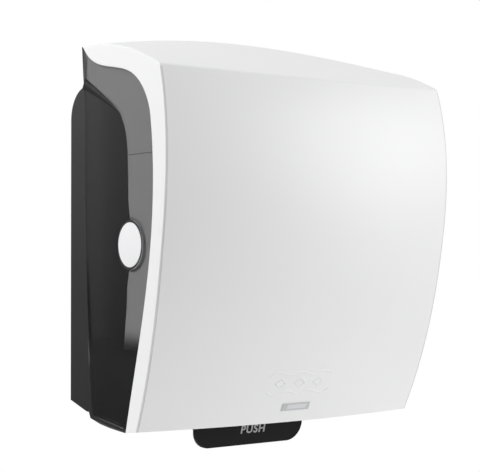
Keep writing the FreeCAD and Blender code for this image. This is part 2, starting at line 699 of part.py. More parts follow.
def housing_profile(inset):
    """Side outline of the rear housing as corners and one arc, with its wall taken off by inset."""
    back = dim["back_wall"] if inset else 0
    radius = dim["housing_rear_radius"] - inset
    top = dim["housing_up"] - inset
    turn = dim["housing_rear_radius"]
    start = point(0, back, dim["housing_up"] - turn)
    middle = point(0, turn - radius * math.cos(math.pi / 4) if not inset else
                   back + (turn - back) * (1 - math.cos(math.pi / 4)),
                   dim["housing_up"] - turn + radius * math.sin(math.pi / 4))
    end = point(0, turn, top)
    arc = Part.Arc(start, middle, end).toShape()
    if inset:
        far = dim["cheek_deep"] + dim["housing_rear_radius"]
        rest = [end, point(0, dim["housing_top_deep"], top), point(0, far, top),
                point(0, far, dim["cheek_foot_up"] + inset),
                point(0, dim["housing_floor_deep"], dim["housing_floor_up"] + inset),
                point(0, back, dim["housing_rear_foot"] + inset), start]
        return [arc] + [Part.makeLine(rest[k], rest[k + 1]) for k in range(len(rest) - 1)]
    slope = point(0, dim["cheek_slope_deep"], dim["cheek_slope_up"])
    high = point(0, dim["cheek_high_deep"], dim["cheek_high_up"])
    widest = point(0, dim["cheek_deep"], dim["cheek_up"])
    foot = point(0, dim["cheek_foot_deep"], dim["cheek_foot_up"])
    shoulder = point(0, (dim["cheek_slope_deep"] + dim["cheek_high_deep"]) / 2 + 4,
                     (dim["cheek_slope_up"] + dim["cheek_high_up"]) / 2 + 4)
    rest = [foot, point(0, dim["housing_floor_deep"], dim["housing_floor_up"]),
            point(0, 0, dim["housing_rear_foot"]), start]
    return [arc, Part.makeLine(end, point(0, dim["housing_top_deep"], top)),
            Part.makeLine(point(0, dim["housing_top_deep"], top), slope),
            Part.Arc(slope, shoulder, high).toShape(),
            Part.Arc(high, widest, foot).toShape()] + [
                Part.makeLine(rest[k], rest[k + 1]) for k in range(len(rest) - 1)]


def rear_housing():
    """The black box on the wall: back, floor, top and two cheeks, open towards the front."""
    body = side_prism(housing_profile(0), dim["housing_half"])
    body = body.cut(side_prism(housing_profile(dim["housing_wall"]),
                               dim["housing_half"] - dim["housing_wall"]))
    adds = []
    cuts = []
    drop = dim["edge_drop"]
    for side in (-1, 1):
        for level in (-1, 1):
            x = side * dim["screw_spread_x"] / 2
            up = drop + level * dim["screw_spread_z"] / 2
            axis = FreeCAD.Vector(0, -1, 0)
            adds.append(Part.makeCylinder(dim["screw_pad"], dim["back_wall"] + dim["screw_pad_rise"],
                                          point(x, 0, up), axis))
            cuts.append(Part.makeCylinder(dim["screw_hole"], 3 * dim["back_wall"],
                                          point(x, -dim["back_wall"], up), axis))
        boss = dim["housing_wall"] + 9
        inner = dim["housing_half"] - boss
        start = inner if side > 0 else -dim["housing_half"]
        adds.append(Part.makeCylinder(dim["hinge_pin"] + 5, boss,
                                      point(start, dim["hinge_deep"], dim["hinge_up"]),
                                      FreeCAD.Vector(1, 0, 0)))
        cuts.append(Part.makeCylinder(dim["hinge_pin"] + dim["shaft_play"] / 2, boss,
                                      point(start, dim["hinge_deep"], dim["hinge_up"]),
                                      FreeCAD.Vector(1, 0, 0)))
        start = dim["housing_half"] - 2 * dim["housing_wall"] if side > 0 else -dim["housing_half"]
        margin = dim["latch_half"] + 3
        catch = dim["latch_tip_deep"] + dim["latch_nose_length"] + dim["latch_play"]
        cuts.append(Part.makeBox(2 * dim["housing_wall"], dim["latch_nose_length"] + 2, 2 * margin,
                                 point(start, catch, dim["button_up"] - margin)))
        cuts.append(Part.makeCylinder(dim["frame_screw"] + 0.1, 20,
                                      point(side * dim["tray_screw_x"], tray_screw_deep(), -5)))
    half = dim["paper_half"] + 6
    opening_front = dim["cheek_deep"] + 10
    opening_rear = dim["rear_guide_deep"] - 4
    cuts.append(Part.makeBox(2 * half, opening_front - opening_rear, 2 * dim["paper_way"],
                             point(-half, opening_front, -dim["paper_way"])))
    adds.append(dust_lip())
    return body.fuse(adds).cut(cuts).removeSplitter()


def dust_lip():
    """An upright lip on the front of the housing's top, curved like the cover above it."""
    half = dim["housing_half"] - dim["housing_wall"] - dim["lip_setback"]
    front = dim["housing_top_deep"]
    low = dim["housing_up"] - dim["housing_wall"]
    corners = [point(half, front, dim["lip_up"]), point(half, front, low),
               point(-half, front, low), point(-half, front, dim["lip_up"])]
    crown = Part.Arc(corners[-1], point(0, front, dim["lip_up"] + dim["lip_crown"]), corners[0]).toShape()
    lines = [Part.makeLine(corners[k], corners[k + 1]) for k in range(3)]
    return Part.Face(Part.Wire([crown] + lines)).extrude(FreeCAD.Vector(0, dim["housing_wall"], 0))


def build_housing():
    piece("rear_housing", solid("rear_housing", rear_housing()))


# ---------------------------------------------------------------- mechanism frame

def build_frame():
    """Two side frames on the back wall, tied by the plate over the mechanism."""
    outer = "frame_inside + frame_wall"
    floor = "housing_wall + 1.5"
    frame = plate_x("side_frame_plate", "frame_inside", outer,
                    [("frame_rear_deep", "frame_foot_up"),
                     ("housing_floor_deep", "housing_floor_up + " + floor),
                     ("frame_front_deep", "cheek_foot_up + " + floor + " + 1"),
                     ("frame_front_deep", "frame_lip_up"),
                     ("frame_top_deep + 12", "frame_up - 12"),
                     ("frame_top_deep", "frame_up"),
                     ("frame_rear_deep", "frame_up")],
                    holes=[("lever_deep", "lever_up", "bush_radius + bush_play"),
                           ("roller_deep", "roller_up", "bush_radius + bush_play"),
                           ("pinch_pivot_deep", "pinch_pivot_up", "pinch_axle + shaft_play")])
    feet = [plate_y("side_frame_foot_%d" % number, "frame_rear_deep", "frame_rear_deep + frame_wall",
                    [("frame_inside", low), (outer + " + frame_tab", low),
                     (outer + " + frame_tab", low + " + 18"), ("frame_inside", low + " + 18")],
                    holes=[(outer + " + frame_tab / 2", low + " + 9", "frame_screw + 0.1")])
            for number, low in enumerate(("frame_foot_up + 4", "frame_up - 24"))]
    frame_right = fuse("side_frame_right", frame, *feet)
    pair("side_frame", frame_right)
    x = outer + " + frame_tab / 2"
    screws = []
    for number, low in enumerate(("frame_foot_up + 13", "frame_up - 15")):
        for side in ("", "-"):
            name = "frame_screw_%d%s" % (number, "a" if side else "b")
            head = rod_y(name + "_head", "2 * frame_screw", "%s(%s)" % (side, x), low,
                         "frame_rear_deep + frame_wall", "frame_rear_deep + frame_wall + 2")
            shank = rod_y(name + "_shank", "frame_screw", "%s(%s)" % (side, x), low,
                          "back_wall", "frame_rear_deep + frame_wall")
            screws.append(fuse(name, head, shank))
    piece("frame_screws", fuse("frame_screws", *screws))
    rear = "back_wall + screw_pad_rise + 0.5"
    lid = plate_z("top_plate", "frame_up", "frame_up + top_plate_wall",
                  [("-(%s)" % outer, rear), (outer, rear),
                   (outer, "frame_top_deep"), ("-(%s)" % outer, "frame_top_deep")],
                  windows=[[("-paper_half", "inlet_near"), ("paper_half", "inlet_near"),
                            ("paper_half", "inlet_far"), ("-paper_half", "inlet_far")]])
    piece("top_plate", lid)


# ---------------------------------------------------------------- feed roller

def bushes(name, deep, up):
    """Two flanged bushes, one in each side frame, with their flanges inside."""
    rings = []
    for side, sign in (("right", 1), ("left", -1)):
        inner, outer = "frame_inside", "frame_inside + frame_wall + 0.4"
        ends = (inner, outer) if sign > 0 else ("-(%s)" % outer, "-(%s)" % inner)
        flange = ("frame_inside - bush_flange_wall", "frame_inside")
        if sign < 0:
            flange = ("-frame_inside", "-(frame_inside - bush_flange_wall)")
        barrel = rod_x("%s_%s_barrel" % (name, side), "bush_radius", ends[0], ends[1], deep, up)
        collar = rod_x("%s_%s_collar" % (name, side), "bush_flange", flange[0], flange[1], deep, up)
        bore = rod_x("%s_%s_bore" % (name, side), "shaft_radius + shaft_play",
                     "-(frame_inside + 2 * frame_wall)" if sign < 0 else "frame_inside - 2 * frame_wall",
                     "-(frame_inside - 2 * frame_wall)" if sign < 0 else "frame_inside + 2 * frame_wall",
                     deep, up)
        rings.append(cut("%s_%s" % (name, side), fuse("%s_%s_body" % (name, side), barrel, collar), bore))
    return piece(name, fuse(name, *rings))


def involute_flank(base, start, tip, count):
    """Points of an involute from radius start to tip, as (radius, angle from the tooth's root)."""
    flank = []
    for k in range(count):
        radius = start + (tip - start) * k / (count - 1)
        roll = math.sqrt(max((radius / base) ** 2 - 1, 0))
        flank.append((radius, roll - math.atan(roll)))
    return flank


def gear_teeth(teeth, first, last, phase, backlash):
    """Edges of external involute teeth number first to last; tooth k stands at phase + k pitches.

    Returned in order of rising angle in the plane (across, along), with root arcs between.
    """
    module = dim["gear_module"]
    pitch_radius = module * teeth / 2
    base = pitch_radius * math.cos(math.radians(20))
    root = pitch_radius - 1.25 * module
    tip = pitch_radius + module
    start = max(root, base)
    roll = math.tan(math.radians(20)) - math.radians(20)
    half_tooth = (math.pi * module / 2 - backlash) / 2 / pitch_radius + roll
    flank = involute_flank(base, start, tip, 5)

    def spot(radius, angle):
        return FreeCAD.Vector(0, radius * math.cos(angle), radius * math.sin(angle))

    edges = []
    pitch = 2 * math.pi / teeth
    for k in range(first, last + 1):
        middle = phase + k * pitch
        rising = [spot(radius, middle - half_tooth + swept) for radius, swept in flank]
        falling = [spot(radius, middle + half_tooth - swept) for radius, swept in reversed(flank)]
        narrow = half_tooth - flank[0][1]
        entry = spot(root, middle - narrow)
        leave = spot(root, middle + narrow)
        if start > root:
            edges.append(Part.makeLine(entry, rising[0]))
        edges.append(curve(rising))
        edges.append(Part.Arc(rising[-1], spot(tip, middle), falling[0]).toShape())
        edges.append(curve(falling))
        if start > root:
            edges.append(Part.makeLine(falling[-1], leave))
        after = spot(root, middle + pitch - narrow)
        if k < last or last - first == teeth - 1:
            edges.append(Part.Arc(leave, spot(root, middle + pitch / 2), after).toShape())
    return edges


def mesh_angle():
    """Direction from the lever axis to the roller axis, in the plane of Y and Z."""
    return math.atan2(dim["roller_up"] - dim["lever_up"], dim["lever_deep"] - dim["roller_deep"])


def drive_gear():
    """The gear that the lever's sector turns, with the disc that carries the pawl."""
    teeth = int(dim["pinion_teeth"])
    edges = gear_teeth(teeth, 0, teeth - 1, mesh_angle() + math.pi, 0.12)
    wheel = Part.Face(Part.Wire(edges)).extrude(FreeCAD.Vector(dim["pinion_wall"], 0, 0))
    disc = Part.makeCylinder(dim["pawl_disc"], dim["pawl_disc_wall"],
                             FreeCAD.Vector(dim["pinion_wall"], 0, 0), FreeCAD.Vector(1, 0, 0))
    pin = Part.makeCylinder(1.5, dim["pawl_disc_wall"] + dim["ratchet_wall"],
                            FreeCAD.Vector(dim["pinion_wall"], 0, dim["pawl_disc"] - 2.5),
                            FreeCAD.Vector(1, 0, 0))
    bore = Part.makeCylinder(dim["shaft_radius"] + dim["shaft_play"], 4 * dim["pinion_wall"],
                             FreeCAD.Vector(-dim["pinion_wall"], 0, 0), FreeCAD.Vector(1, 0, 0))
    gear = wheel.fuse([disc, pin]).cut(bore)
    gear.translate(point(dim["gear_start"], dim["roller_deep"], dim["roller_up"]))
    return gear


def ratchet_wheel():
    """A saw-toothed wheel keyed to the roller shaft."""
    teeth = int(dim["ratchet_teeth"])
    points = []
    for k in range(teeth):
        angle = 2 * math.pi * k / teeth
        for radius in (dim["ratchet_root"], dim["ratchet_radius"]):
            points.append(FreeCAD.Vector(0, radius * math.cos(angle), radius * math.sin(angle)))
    wheel = Part.Face(Part.makePolygon(points + points[:1])).extrude(FreeCAD.Vector(dim["ratchet_wall"], 0, 0))
    bore = Part.makeCylinder(dim["shaft_radius"], 3 * dim["ratchet_wall"],
                             FreeCAD.Vector(-dim["ratchet_wall"], 0, 0), FreeCAD.Vector(1, 0, 0))
    wheel = wheel.cut(bore)
    wheel.translate(point(ratchet_x(), dim["roller_deep"], dim["roller_up"]))
    return wheel


def ratchet_x():
    return dim["gear_start"] + dim["pinion_wall"] + dim["pawl_disc_wall"] + 0.3


def pawl():
    """The pawl on its pin at the top of the disc, its nose in the ratchet teeth."""
    rise = dim["pawl_disc"] - 2.5
    hub = Part.makeCylinder(3, dim["ratchet_wall"], FreeCAD.Vector(0, 0, rise), FreeCAD.Vector(1, 0, 0))
    lean = dim["ratchet_radius"] + 0.3
    nose = Part.Face(Part.makePolygon([FreeCAD.Vector(0, 0, rise + 3), FreeCAD.Vector(0, -9, lean + 1.4),
                                       FreeCAD.Vector(0, -8.4, lean - 3.6), FreeCAD.Vector(0, -6.6, lean - 1.6),
                                       FreeCAD.Vector(0, 0, rise - 2.6), FreeCAD.Vector(0, 0, rise + 3)]))
    nose = nose.extrude(FreeCAD.Vector(dim["ratchet_wall"], 0, 0))
    hole = Part.makeCylinder(1.5 + dim["shaft_play"], 3 * dim["ratchet_wall"],
                             FreeCAD.Vector(-dim["ratchet_wall"], 0, rise), FreeCAD.Vector(1, 0, 0))
    shape = hub.fuse(nose).cut(hole)
    shape.translate(point(ratchet_x(), dim["roller_deep"], dim["roller_up"]))
    return shape


def build_roller():
    axis = ("roller_deep", "roller_up")
    end = "gear_start + pinion_wall + pawl_disc_wall + ratchet_wall"
    knob_start = "-(frame_inside + frame_wall + 2)"
    shaft = rod_x("roller_shaft", "shaft_radius", knob_start + " - knob_wall + 1", end + " + 4", *axis)
    piece("roller_shaft", shaft)
    core_end = "frame_inside - bush_flange_wall - 1.5"
    piece("roller_core", ring_x("roller_core", "roller_core", "shaft_radius",
                                "-(%s)" % core_end, core_end, *axis))
    sleeves = []
    for number, middle in enumerate(("-sleeve_x", "0", "sleeve_x")):
        sleeves.append(ring_x("roller_sleeve_%d" % number, "roller_radius", "roller_core",
                              middle + " - sleeve_half", middle + " + sleeve_half", *axis))
    piece("roller_sleeves", fuse("roller_sleeves", *sleeves))
    bushes("roller_bushes", *axis)
    piece("drive_gear", solid("drive_gear", drive_gear()))
    piece("ratchet_wheel", solid("ratchet_wheel", ratchet_wheel()))
    piece("drive_pawl", solid("drive_pawl", pawl()))
    piece("shaft_clip", ring_x("shaft_clip", "shaft_radius + 3", "shaft_radius", end + " + 1",
                               end + " + 2.2", *axis))
    wheel = rod_x("feed_knob_wheel", "knob_radius", knob_start + " - knob_wall", knob_start, *axis)
    doc.recompute()
    grooves = []
    for k in range(int(dim["knob_flutes"])):
        angle = 2 * math.pi * k / dim["knob_flutes"]
        middle = point(-dim["cover_half"], dim["roller_deep"] + dim["knob_radius"] * math.cos(angle),
                       dim["roller_up"] + dim["knob_radius"] * math.sin(angle))
        grooves.append(Part.makeCylinder(1.1, dim["cover_half"], middle, FreeCAD.Vector(1, 0, 0)))
    tool = solid("feed_knob_grooves", Part.makeCompound(grooves))
    bore = rod_x("feed_knob_bore", "shaft_radius", knob_start + " - knob_wall", knob_start, *axis)
    piece("feed_knob", cut("feed_knob", wheel, tool, bore))


# ---------------------------------------------------------------- pinch rollers

def build_pinch():
    """Small rollers on a sprung yoke that press the paper on the feed roller."""
    outer = "yoke_inside + yoke_wall"
    pivot = ("pinch_pivot_deep", "pinch_pivot_up")
    arm = plate_x("yoke_arm", "yoke_inside", outer,
                  [("pinch_pivot_deep - 4", "pinch_pivot_up + 5"),
                   ("pinch_pivot_deep - 4", "pinch_pivot_up - yoke_bar_drop"),
                   ("pinch_deep - 6", "roller_up - 6"), ("pinch_deep + 5", "roller_up - 6"),
                   ("pinch_deep + 6", "roller_up + 4"), ("pinch_pivot_deep + 6", "pinch_pivot_up + 5")],
                  holes=[("pinch_deep", "roller_up", "pinch_axle + shaft_play")])
    pin = rod_x("yoke_pin", "pinch_axle", "yoke_inside", "frame_inside + frame_wall", *pivot)
    half = fuse("yoke_half", arm, pin)
    bar = block("yoke_bar", "-yoke_inside", "yoke_inside", "pinch_pivot_deep - 4", "pinch_pivot_deep",
                "pinch_pivot_up - yoke_bar_drop", "pinch_pivot_up + 4")
    piece("pinch_yoke", fuse("pinch_yoke", half, mirror("yoke_half_left", half), bar))
    axle = rod_x("pinch_axle_rod", "pinch_axle", "-(%s + 1)" % outer, outer + " + 1", "pinch_deep", "roller_up")
    piece("pinch_axle", axle)
    rolls = [ring_x("pinch_roller_%d" % number, "pinch_radius", "pinch_axle",
                    middle + " - pinch_half", middle + " + pinch_half", "pinch_deep", "roller_up")
             for number, middle in enumerate(("-sleeve_x", "0", "sleeve_x"))]
    piece("pinch_rollers", fuse("pinch_rollers", *rolls))
    springs = []
    room = dim["pinch_pivot_deep"] - 4 - dim["back_wall"]
    for x in (-dim["pinch_spring_x"], dim["pinch_spring_x"]):
        spring = coil(3.5, dim["wire"] / 2, 3, room - dim["wire"] - 0.4)
        spring.rotate(FreeCAD.Vector(), FreeCAD.Vector(1, 0, 0), 90)
        spring.translate(point(x, dim["back_wall"] + 0.2 + dim["wire"] / 2,
                               dim["pinch_pivot_up"] - dim["pinch_spring_drop"]))
        springs.append(spring)
    piece("pinch_springs", solid("pinch_springs", Part.makeCompound(springs)))


# ---------------------------------------------------------------- paper guides and tear bar

def build_guides():
    half = "frame_inside - 0.3"
    front = plate_y("front_guide", "front_guide_deep", "front_guide_deep + guide_wall",
                    [("-(%s)" % half, "guide_foot_up"), (half, "guide_foot_up"),
                     (half, "front_guide_up"), ("-(%s)" % half, "front_guide_up")])
    piece("front_guide", front)
    rear = plate_y("rear_guide", "rear_guide_deep - guide_wall", "rear_guide_deep",
                   [("-(%s)" % half, "guide_foot_up"), (half, "guide_foot_up"),
                    (half, "rear_guide_up"), ("-(%s)" % half, "rear_guide_up")])
    piece("rear_guide", rear)
    blade = dim["front_guide_deep"] + dim["guide_wall"]
    count = int(2 * dim["tear_half"] / dim["tear_tooth"])
    points = [point(dim["tear_half"], blade, dim["tear_up"]), point(-dim["tear_half"], blade, dim["tear_up"])]
    for k in range(count):
        left = -dim["tear_half"] + k * dim["tear_tooth"]
        points.append(point(left, blade, dim["tear_foot_up"] + dim["tear_tooth_rise"]))
        points.append(point(left + dim["tear_tooth"] / 2, blade, dim["tear_foot_up"]))
    points.append(point(dim["tear_half"], blade, dim["tear_foot_up"] + dim["tear_tooth_rise"]))
    bar = Part.Face(Part.makePolygon(points + points[:1])).extrude(FreeCAD.Vector(0, -dim["tear_wall"], 0))
    holes = [Part.makeCylinder(dim["frame_screw"] + 0.1, 3 * dim["tear_wall"],
                               point(x, blade - dim["tear_wall"], dim["tear_up"] - 6), FreeCAD.Vector(0, -1, 0))
             for x in tear_screws()]
    piece("tear_bar", solid("tear_bar", bar.cut(holes)))
    screws = []
    for number, x in enumerate(tear_screws()):
        head = rod_y("tear_screw_head_%d" % number, "2 * frame_screw", x, "tear_up - 6",
                     "front_guide_deep + guide_wall + tear_wall", "front_guide_deep + guide_wall + tear_wall + 1.6")
        shank = rod_y("tear_screw_shank_%d" % number, "frame_screw", x, "tear_up - 6",
                      "front_guide_deep + guide_wall", "front_guide_deep + guide_wall + tear_wall")
        screws.append(fuse("tear_screw_%d" % number, head, shank))
    piece("tear_bar_screws", fuse("tear_bar_screws", *screws))


def tear_screws():
    outer = dim["tear_half"] - dim["tear_screw_margin"]
    return (-outer, -outer / 3, outer / 3, outer)


# ---------------------------------------------------------------- push lever

def paddle_blank():
    """The paddle seen from the front, with its lower corners rounded."""
    panel = block("paddle_panel", "-lever_half", "lever_half", "paddle_foot_deep - 20", "lever_deep + 20",
                  "paddle_foot_up", "lever_up")
    low = dim["paddle_foot_up"] - dim["edge_drop"]

    def lower_corner(edge):
        box = edge.BoundBox
        return box.YLength > 1 and box.XLength < 1 and box.ZLength < 1 and abs(box.ZMin - low) < 1e-3

    return fillet("paddle_rounded", panel, dim["paddle_corner"], lower_corner)


def build_lever():
    """The paddle, its two arms and the tube round the axle, in one moulding."""
    side = plate_x("paddle_side", "-lever_half", "lever_half",
                   [("paddle_foot_deep", "paddle_foot_up"),
                    ("paddle_foot_deep + 3.2", "paddle_foot_up + 20"),
                    ("paddle_foot_deep + 7", "paddle_foot_up + 40"),
                    ("lever_deep - 2", "lever_up - lever_boss + 2"),
                    ("lever_deep - 2 - paddle_wall", "lever_up - lever_boss + 2"),
                    ("paddle_foot_deep + 7 - paddle_wall", "paddle_foot_up + 40"),
                    ("paddle_foot_deep + 3.2 - paddle_wall", "paddle_foot_up + 20"),
                    ("paddle_foot_deep - paddle_wall", "paddle_foot_up")])
    paddle = common("paddle", side, paddle_blank())
    arm = plate_x("lever_arm", "lever_arm_x", "lever_arm_x + lever_arm_wall",
                  [("paddle_foot_deep - 1", "paddle_foot_up + 14"),
                   ("paddle_foot_deep + 6", "paddle_foot_up + 40"),
                   ("lever_deep + 4", "lever_up - 4"),
                   ("lever_deep + 4", "lever_up + 4"),
                   ("lever_deep - 6", "lever_up + 5"),
                   ("paddle_foot_deep - 5", "paddle_foot_up + 38"),
                   ("paddle_foot_deep - 8", "paddle_foot_up + 20")])
    tube = rod_x("lever_tube", "lever_boss", "-(lever_arm_x + lever_arm_wall)", "lever_arm_x + lever_arm_wall",
                 "lever_deep", "lever_up")
    bore = rod_x("lever_bore", "shaft_radius", "-frame_inside", "frame_inside", "lever_deep", "lever_up")
    body = fuse("lever_body", paddle, arm, mirror("lever_arm_left", arm), tube)
    piece("push_lever", cut("push_lever", body, bore))
    right_end = "gear_start + sector_wall + 3"
    left_end = "-(frame_inside + frame_wall + 3.5)"
    piece("lever_axle", rod_x("lever_axle", "shaft_radius", left_end, right_end, "lever_deep", "lever_up"))
    clips = [ring_x("lever_clip_right", "shaft_radius + 3", "shaft_radius", "gear_start + sector_wall + 0.4",
                    "gear_start + sector_wall + 1.6", "lever_deep", "lever_up"),
             ring_x("lever_clip_left", "shaft_radius + 3", "shaft_radius",
                    "-(frame_inside + frame_wall + 2.4)", "-(frame_inside + frame_wall + 1.2)",
                    "lever_deep", "lever_up")]
    piece("axle_clips", fuse("axle_clips", *clips))
    bushes("lever_bushes", "lever_deep", "lever_up")
    piece("sector_gear", solid("sector_gear", sector_gear()))
    right = lever_spring()
    left = right.mirror(FreeCAD.Vector(), FreeCAD.Vector(1, 0, 0))
    piece("lever_springs", solid("lever_springs", Part.makeCompound([right, left])))


def sector_gear():
    """The toothed segment that is keyed to the lever axle, in mesh with the drive gear at rest."""
    pitch = 2 * math.pi / dim["sector_teeth"]
    middle = mesh_angle()
    before = int((math.radians(dim["lever_swing"]) + math.radians(7)) / pitch)
    after = int(math.radians(7) / pitch)
    edges = gear_teeth(int(dim["sector_teeth"]), -before, after, middle + pitch / 2, 0.12)
    hub = 11
    root = dim["gear_module"] * (dim["sector_teeth"] / 2 - 1.25)
    low = middle + pitch / 2 - (before + 0.6) * pitch
    high = middle + pitch / 2 + (after + 0.6) * pitch

    def spot(radius, angle):
        return FreeCAD.Vector(0, radius * math.cos(angle), radius * math.sin(angle))

    first = edges[0].Vertexes[0].Point
    last = edges[-1].Vertexes[-1].Point
    rim = Part.Wire(Part.__sortEdges__(edges + [
        Part.makeLine(last, spot(root, high)), Part.makeLine(spot(root, high), spot(root - 7, high)),
        Part.Arc(spot(root - 7, high), spot(root - 7, (low + high) / 2), spot(root - 7, low)).toShape(),
        Part.makeLine(spot(root - 7, low), spot(root, low)), Part.makeLine(spot(root, low), first)]))
    wall = FreeCAD.Vector(dim["sector_wall"], 0, 0)
    rim = Part.Face(rim).extrude(wall)
    spokes = []
    for angle in (low + 0.06, high - 0.06):
        across = FreeCAD.Vector(0, -math.sin(angle), math.cos(angle)) * 3.2
        near, far = spot(0, 0), spot(root - 4, angle)
        spokes.append(Part.Face(Part.makePolygon([near + across, far + across, far - across, near - across,
                                                  near + across])).extrude(wall))
    collar = Part.makeCylinder(hub, dim["sector_wall"], FreeCAD.Vector(), FreeCAD.Vector(1, 0, 0))
    bore = Part.makeCylinder(dim["shaft_radius"], 3 * dim["sector_wall"],
                             FreeCAD.Vector(-dim["sector_wall"], 0, 0), FreeCAD.Vector(1, 0, 0))
    gear = collar.fuse([rim] + spokes).cut(bore)
    gear.translate(point(dim["gear_start"], dim["lever_deep"], dim["lever_up"]))
    return gear


def lever_spring_start():
    """Inner end of the right lever spring, between the lever's arm and the edge of its paddle."""
    return (dim["lever_arm_x"] + dim["lever_arm_wall"] + dim["lever_half"]) / 2


def lever_spring():
    """A spring round the lever axle: its inner leg pushes the back of the paddle forward,
    its outer leg stands on the tray against a rib."""
    radius = dim["shaft_radius"] + 0.6 + dim["wire"]
    lean = 11.0
    turns = 4 + (180 - lean) / 360
    first_leg = 0.72 * (dim["lever_up"] - dim["tray_wall"])
    last_leg = dim["lever_up"] + dim["tray_under"] - dim["tray_wall"] - 0.5
    spring = torsion_spring(radius, dim["wire"], turns, dim["lever_spring_length"], first_leg, last_leg)
    spring.rotate(FreeCAD.Vector(), FreeCAD.Vector(0, 1, 0), 90)
    spring.rotate(FreeCAD.Vector(), FreeCAD.Vector(1, 0, 0), 90 + lean)
    spring.translate(point(lever_spring_start(), dim["lever_deep"], dim["lever_up"]))
    return spring


# ---------------------------------------------------------------- roll holder

def build_roll_holder():
    """On each side a bracket on the back wall, an arm on an upright pin and a hub for the core."""
    low, high = "roll_up - 22", "roll_up + 22"
    x = "arm_pivot_x"
    base = block("arm_bracket_base", x + " - 9", x + " + 9", "back_wall + 0.1", "back_wall + 3.1",
                 low, high)
    ears = [block("arm_bracket_ear_%d" % number, x + " - 7", x + " + 7", "back_wall + 0.1",
                  "arm_pivot_deep + 7", start, start + " + 4")
            for number, start in enumerate((low, high + " - 4"))]
    bore = rod_z("arm_bracket_bore", "arm_pin + shaft_play", x, "arm_pivot_deep", low, high)
    face = "back_wall + 3.1"
    spots = [(x + " - 6", "roll_up - 6"), (x + " + 6", "roll_up + 10")]
    holes = [rod_y("arm_bracket_hole_%d" % number, "frame_screw + 0.1", across, up, "back_wall", face)
             for number, (across, up) in enumerate(spots)]
    pair("arm_bracket", cut("arm_bracket_right", fuse("arm_bracket_body", base, *ears), bore, *holes))
    screws = []
    for number, (across, up) in enumerate(spots):
        for sign in ("", "-"):
            name = "bracket_screw_%d%s" % (number, "a" if sign else "b")
            head = rod_y(name + "_head", "1.5 * frame_screw", "%s(%s)" % (sign, across), up, face, face + " + 1.5")
            shank = rod_y(name + "_shank", "frame_screw", "%s(%s)" % (sign, across), up, "back_wall", face)
            screws.append(fuse(name, head, shank))
    piece("bracket_screws", fuse("bracket_screws", *screws))
    pins = [rod_z("arm_pin_%s" % side, "arm_pin", sign + x, "arm_pivot_deep", low + " - 1", high + " + 1")
            for side, sign in (("right", ""), ("left", "-"))]
    piece("arm_pins", fuse("arm_pins", *pins))
    inner, outer = "arm_inside", "arm_inside + arm_wall"
    bar = plate_x("roll_arm_bar", inner, outer,
                  [("arm_pivot_deep + 3", "roll_up - 8"), ("arm_pivot_deep + 8", "roll_up - 8"),
                   ("arm_pivot_deep + 8", "roll_up - 14"), ("roll_deep", "roll_up - arm_disc + 1"),
                   ("roll_deep", "roll_up + arm_disc - 1"), ("arm_pivot_deep + 3", "roll_up + 14")])
    disc = rod_x("roll_arm_disc", "arm_disc", inner, outer, "roll_deep", "roll_up")
    barrel = rod_z("roll_arm_barrel", "arm_barrel", x, "arm_pivot_deep", "roll_up - 8", "roll_up + 17.7")
    tip = "paper_half - hub_nose + 0.4"
    stub = fuse("roll_arm_stub",
                rod_x("roll_arm_stub_rod", "stub_radius", tip, inner, "roll_deep", "roll_up"),
                rod_x("roll_arm_stub_head", "stub_head", tip, tip + " + stub_head_wall", "roll_deep", "roll_up"))
    hole = rod_z("roll_arm_hole", "arm_pin + shaft_play", x, "arm_pivot_deep", "roll_up - 30", "roll_up + 30")
    pair("roll_arm", cut("roll_arm_right", fuse("roll_arm_body", bar, disc, barrel, stub), hole))
    nose = doc.addObject("Part::Cone", "roll_hub_nose")
    nose.Placement = FreeCAD.Placement(FreeCAD.Vector(), FreeCAD.Rotation(FreeCAD.Vector(0, 1, 0), 90))
    bind(nose, "Radius1", "hub_radius - 3")
    bind(nose, "Radius2", "hub_radius")
    bind(nose, "Height", "hub_nose")
    place(nose, "paper_half - hub_nose", "roll_deep", "roll_up")
    flange = rod_x("roll_hub_flange", "hub_flange", "paper_half", "paper_half + hub_flange_wall",
                   "roll_deep", "roll_up")
    boss = rod_x("roll_hub_boss", "stub_radius + 4", "paper_half", "arm_inside - 0.5", "roll_deep", "roll_up")
    bore = rod_x("roll_hub_bore", "stub_radius + shaft_play", "paper_half - hub_nose", "arm_inside",
                 "roll_deep", "roll_up")
    seat = rod_x("roll_hub_seat", "stub_head + 0.5", "paper_half - hub_nose",
                 tip + " + stub_head_wall + 0.3", "roll_deep", "roll_up")
    pair("roll_hub", cut("roll_hub_right", fuse("roll_hub_body", nose, flange, boss), bore, seat))
    pair("arm_spring", solid("arm_spring_right", arm_spring()))


def arm_spring():
    """A spring under the arm's barrel: one leg on the bracket, one along the outside of the arm."""
    radius = dim["arm_pin"] + 0.6 + dim["wire"]
    lean = 9.7
    length = 6.5
    rear_leg = dim["arm_pivot_deep"] - dim["back_wall"] - 3.3
    spring = torsion_spring(radius, dim["wire"], 3 + lean / 360, length, rear_leg, 14)
    spring.rotate(FreeCAD.Vector(), FreeCAD.Vector(0, 0, 1), 180)
    spring = spring.mirror(FreeCAD.Vector(), FreeCAD.Vector(1, 0, 0))
    spring.translate(point(dim["arm_pivot_x"], dim["arm_pivot_deep"],
                           dim["roll_up"] - 8 - 0.4 - dim["wire"] - length))
    return spring


# ---------------------------------------------------------------- release buttons and latches

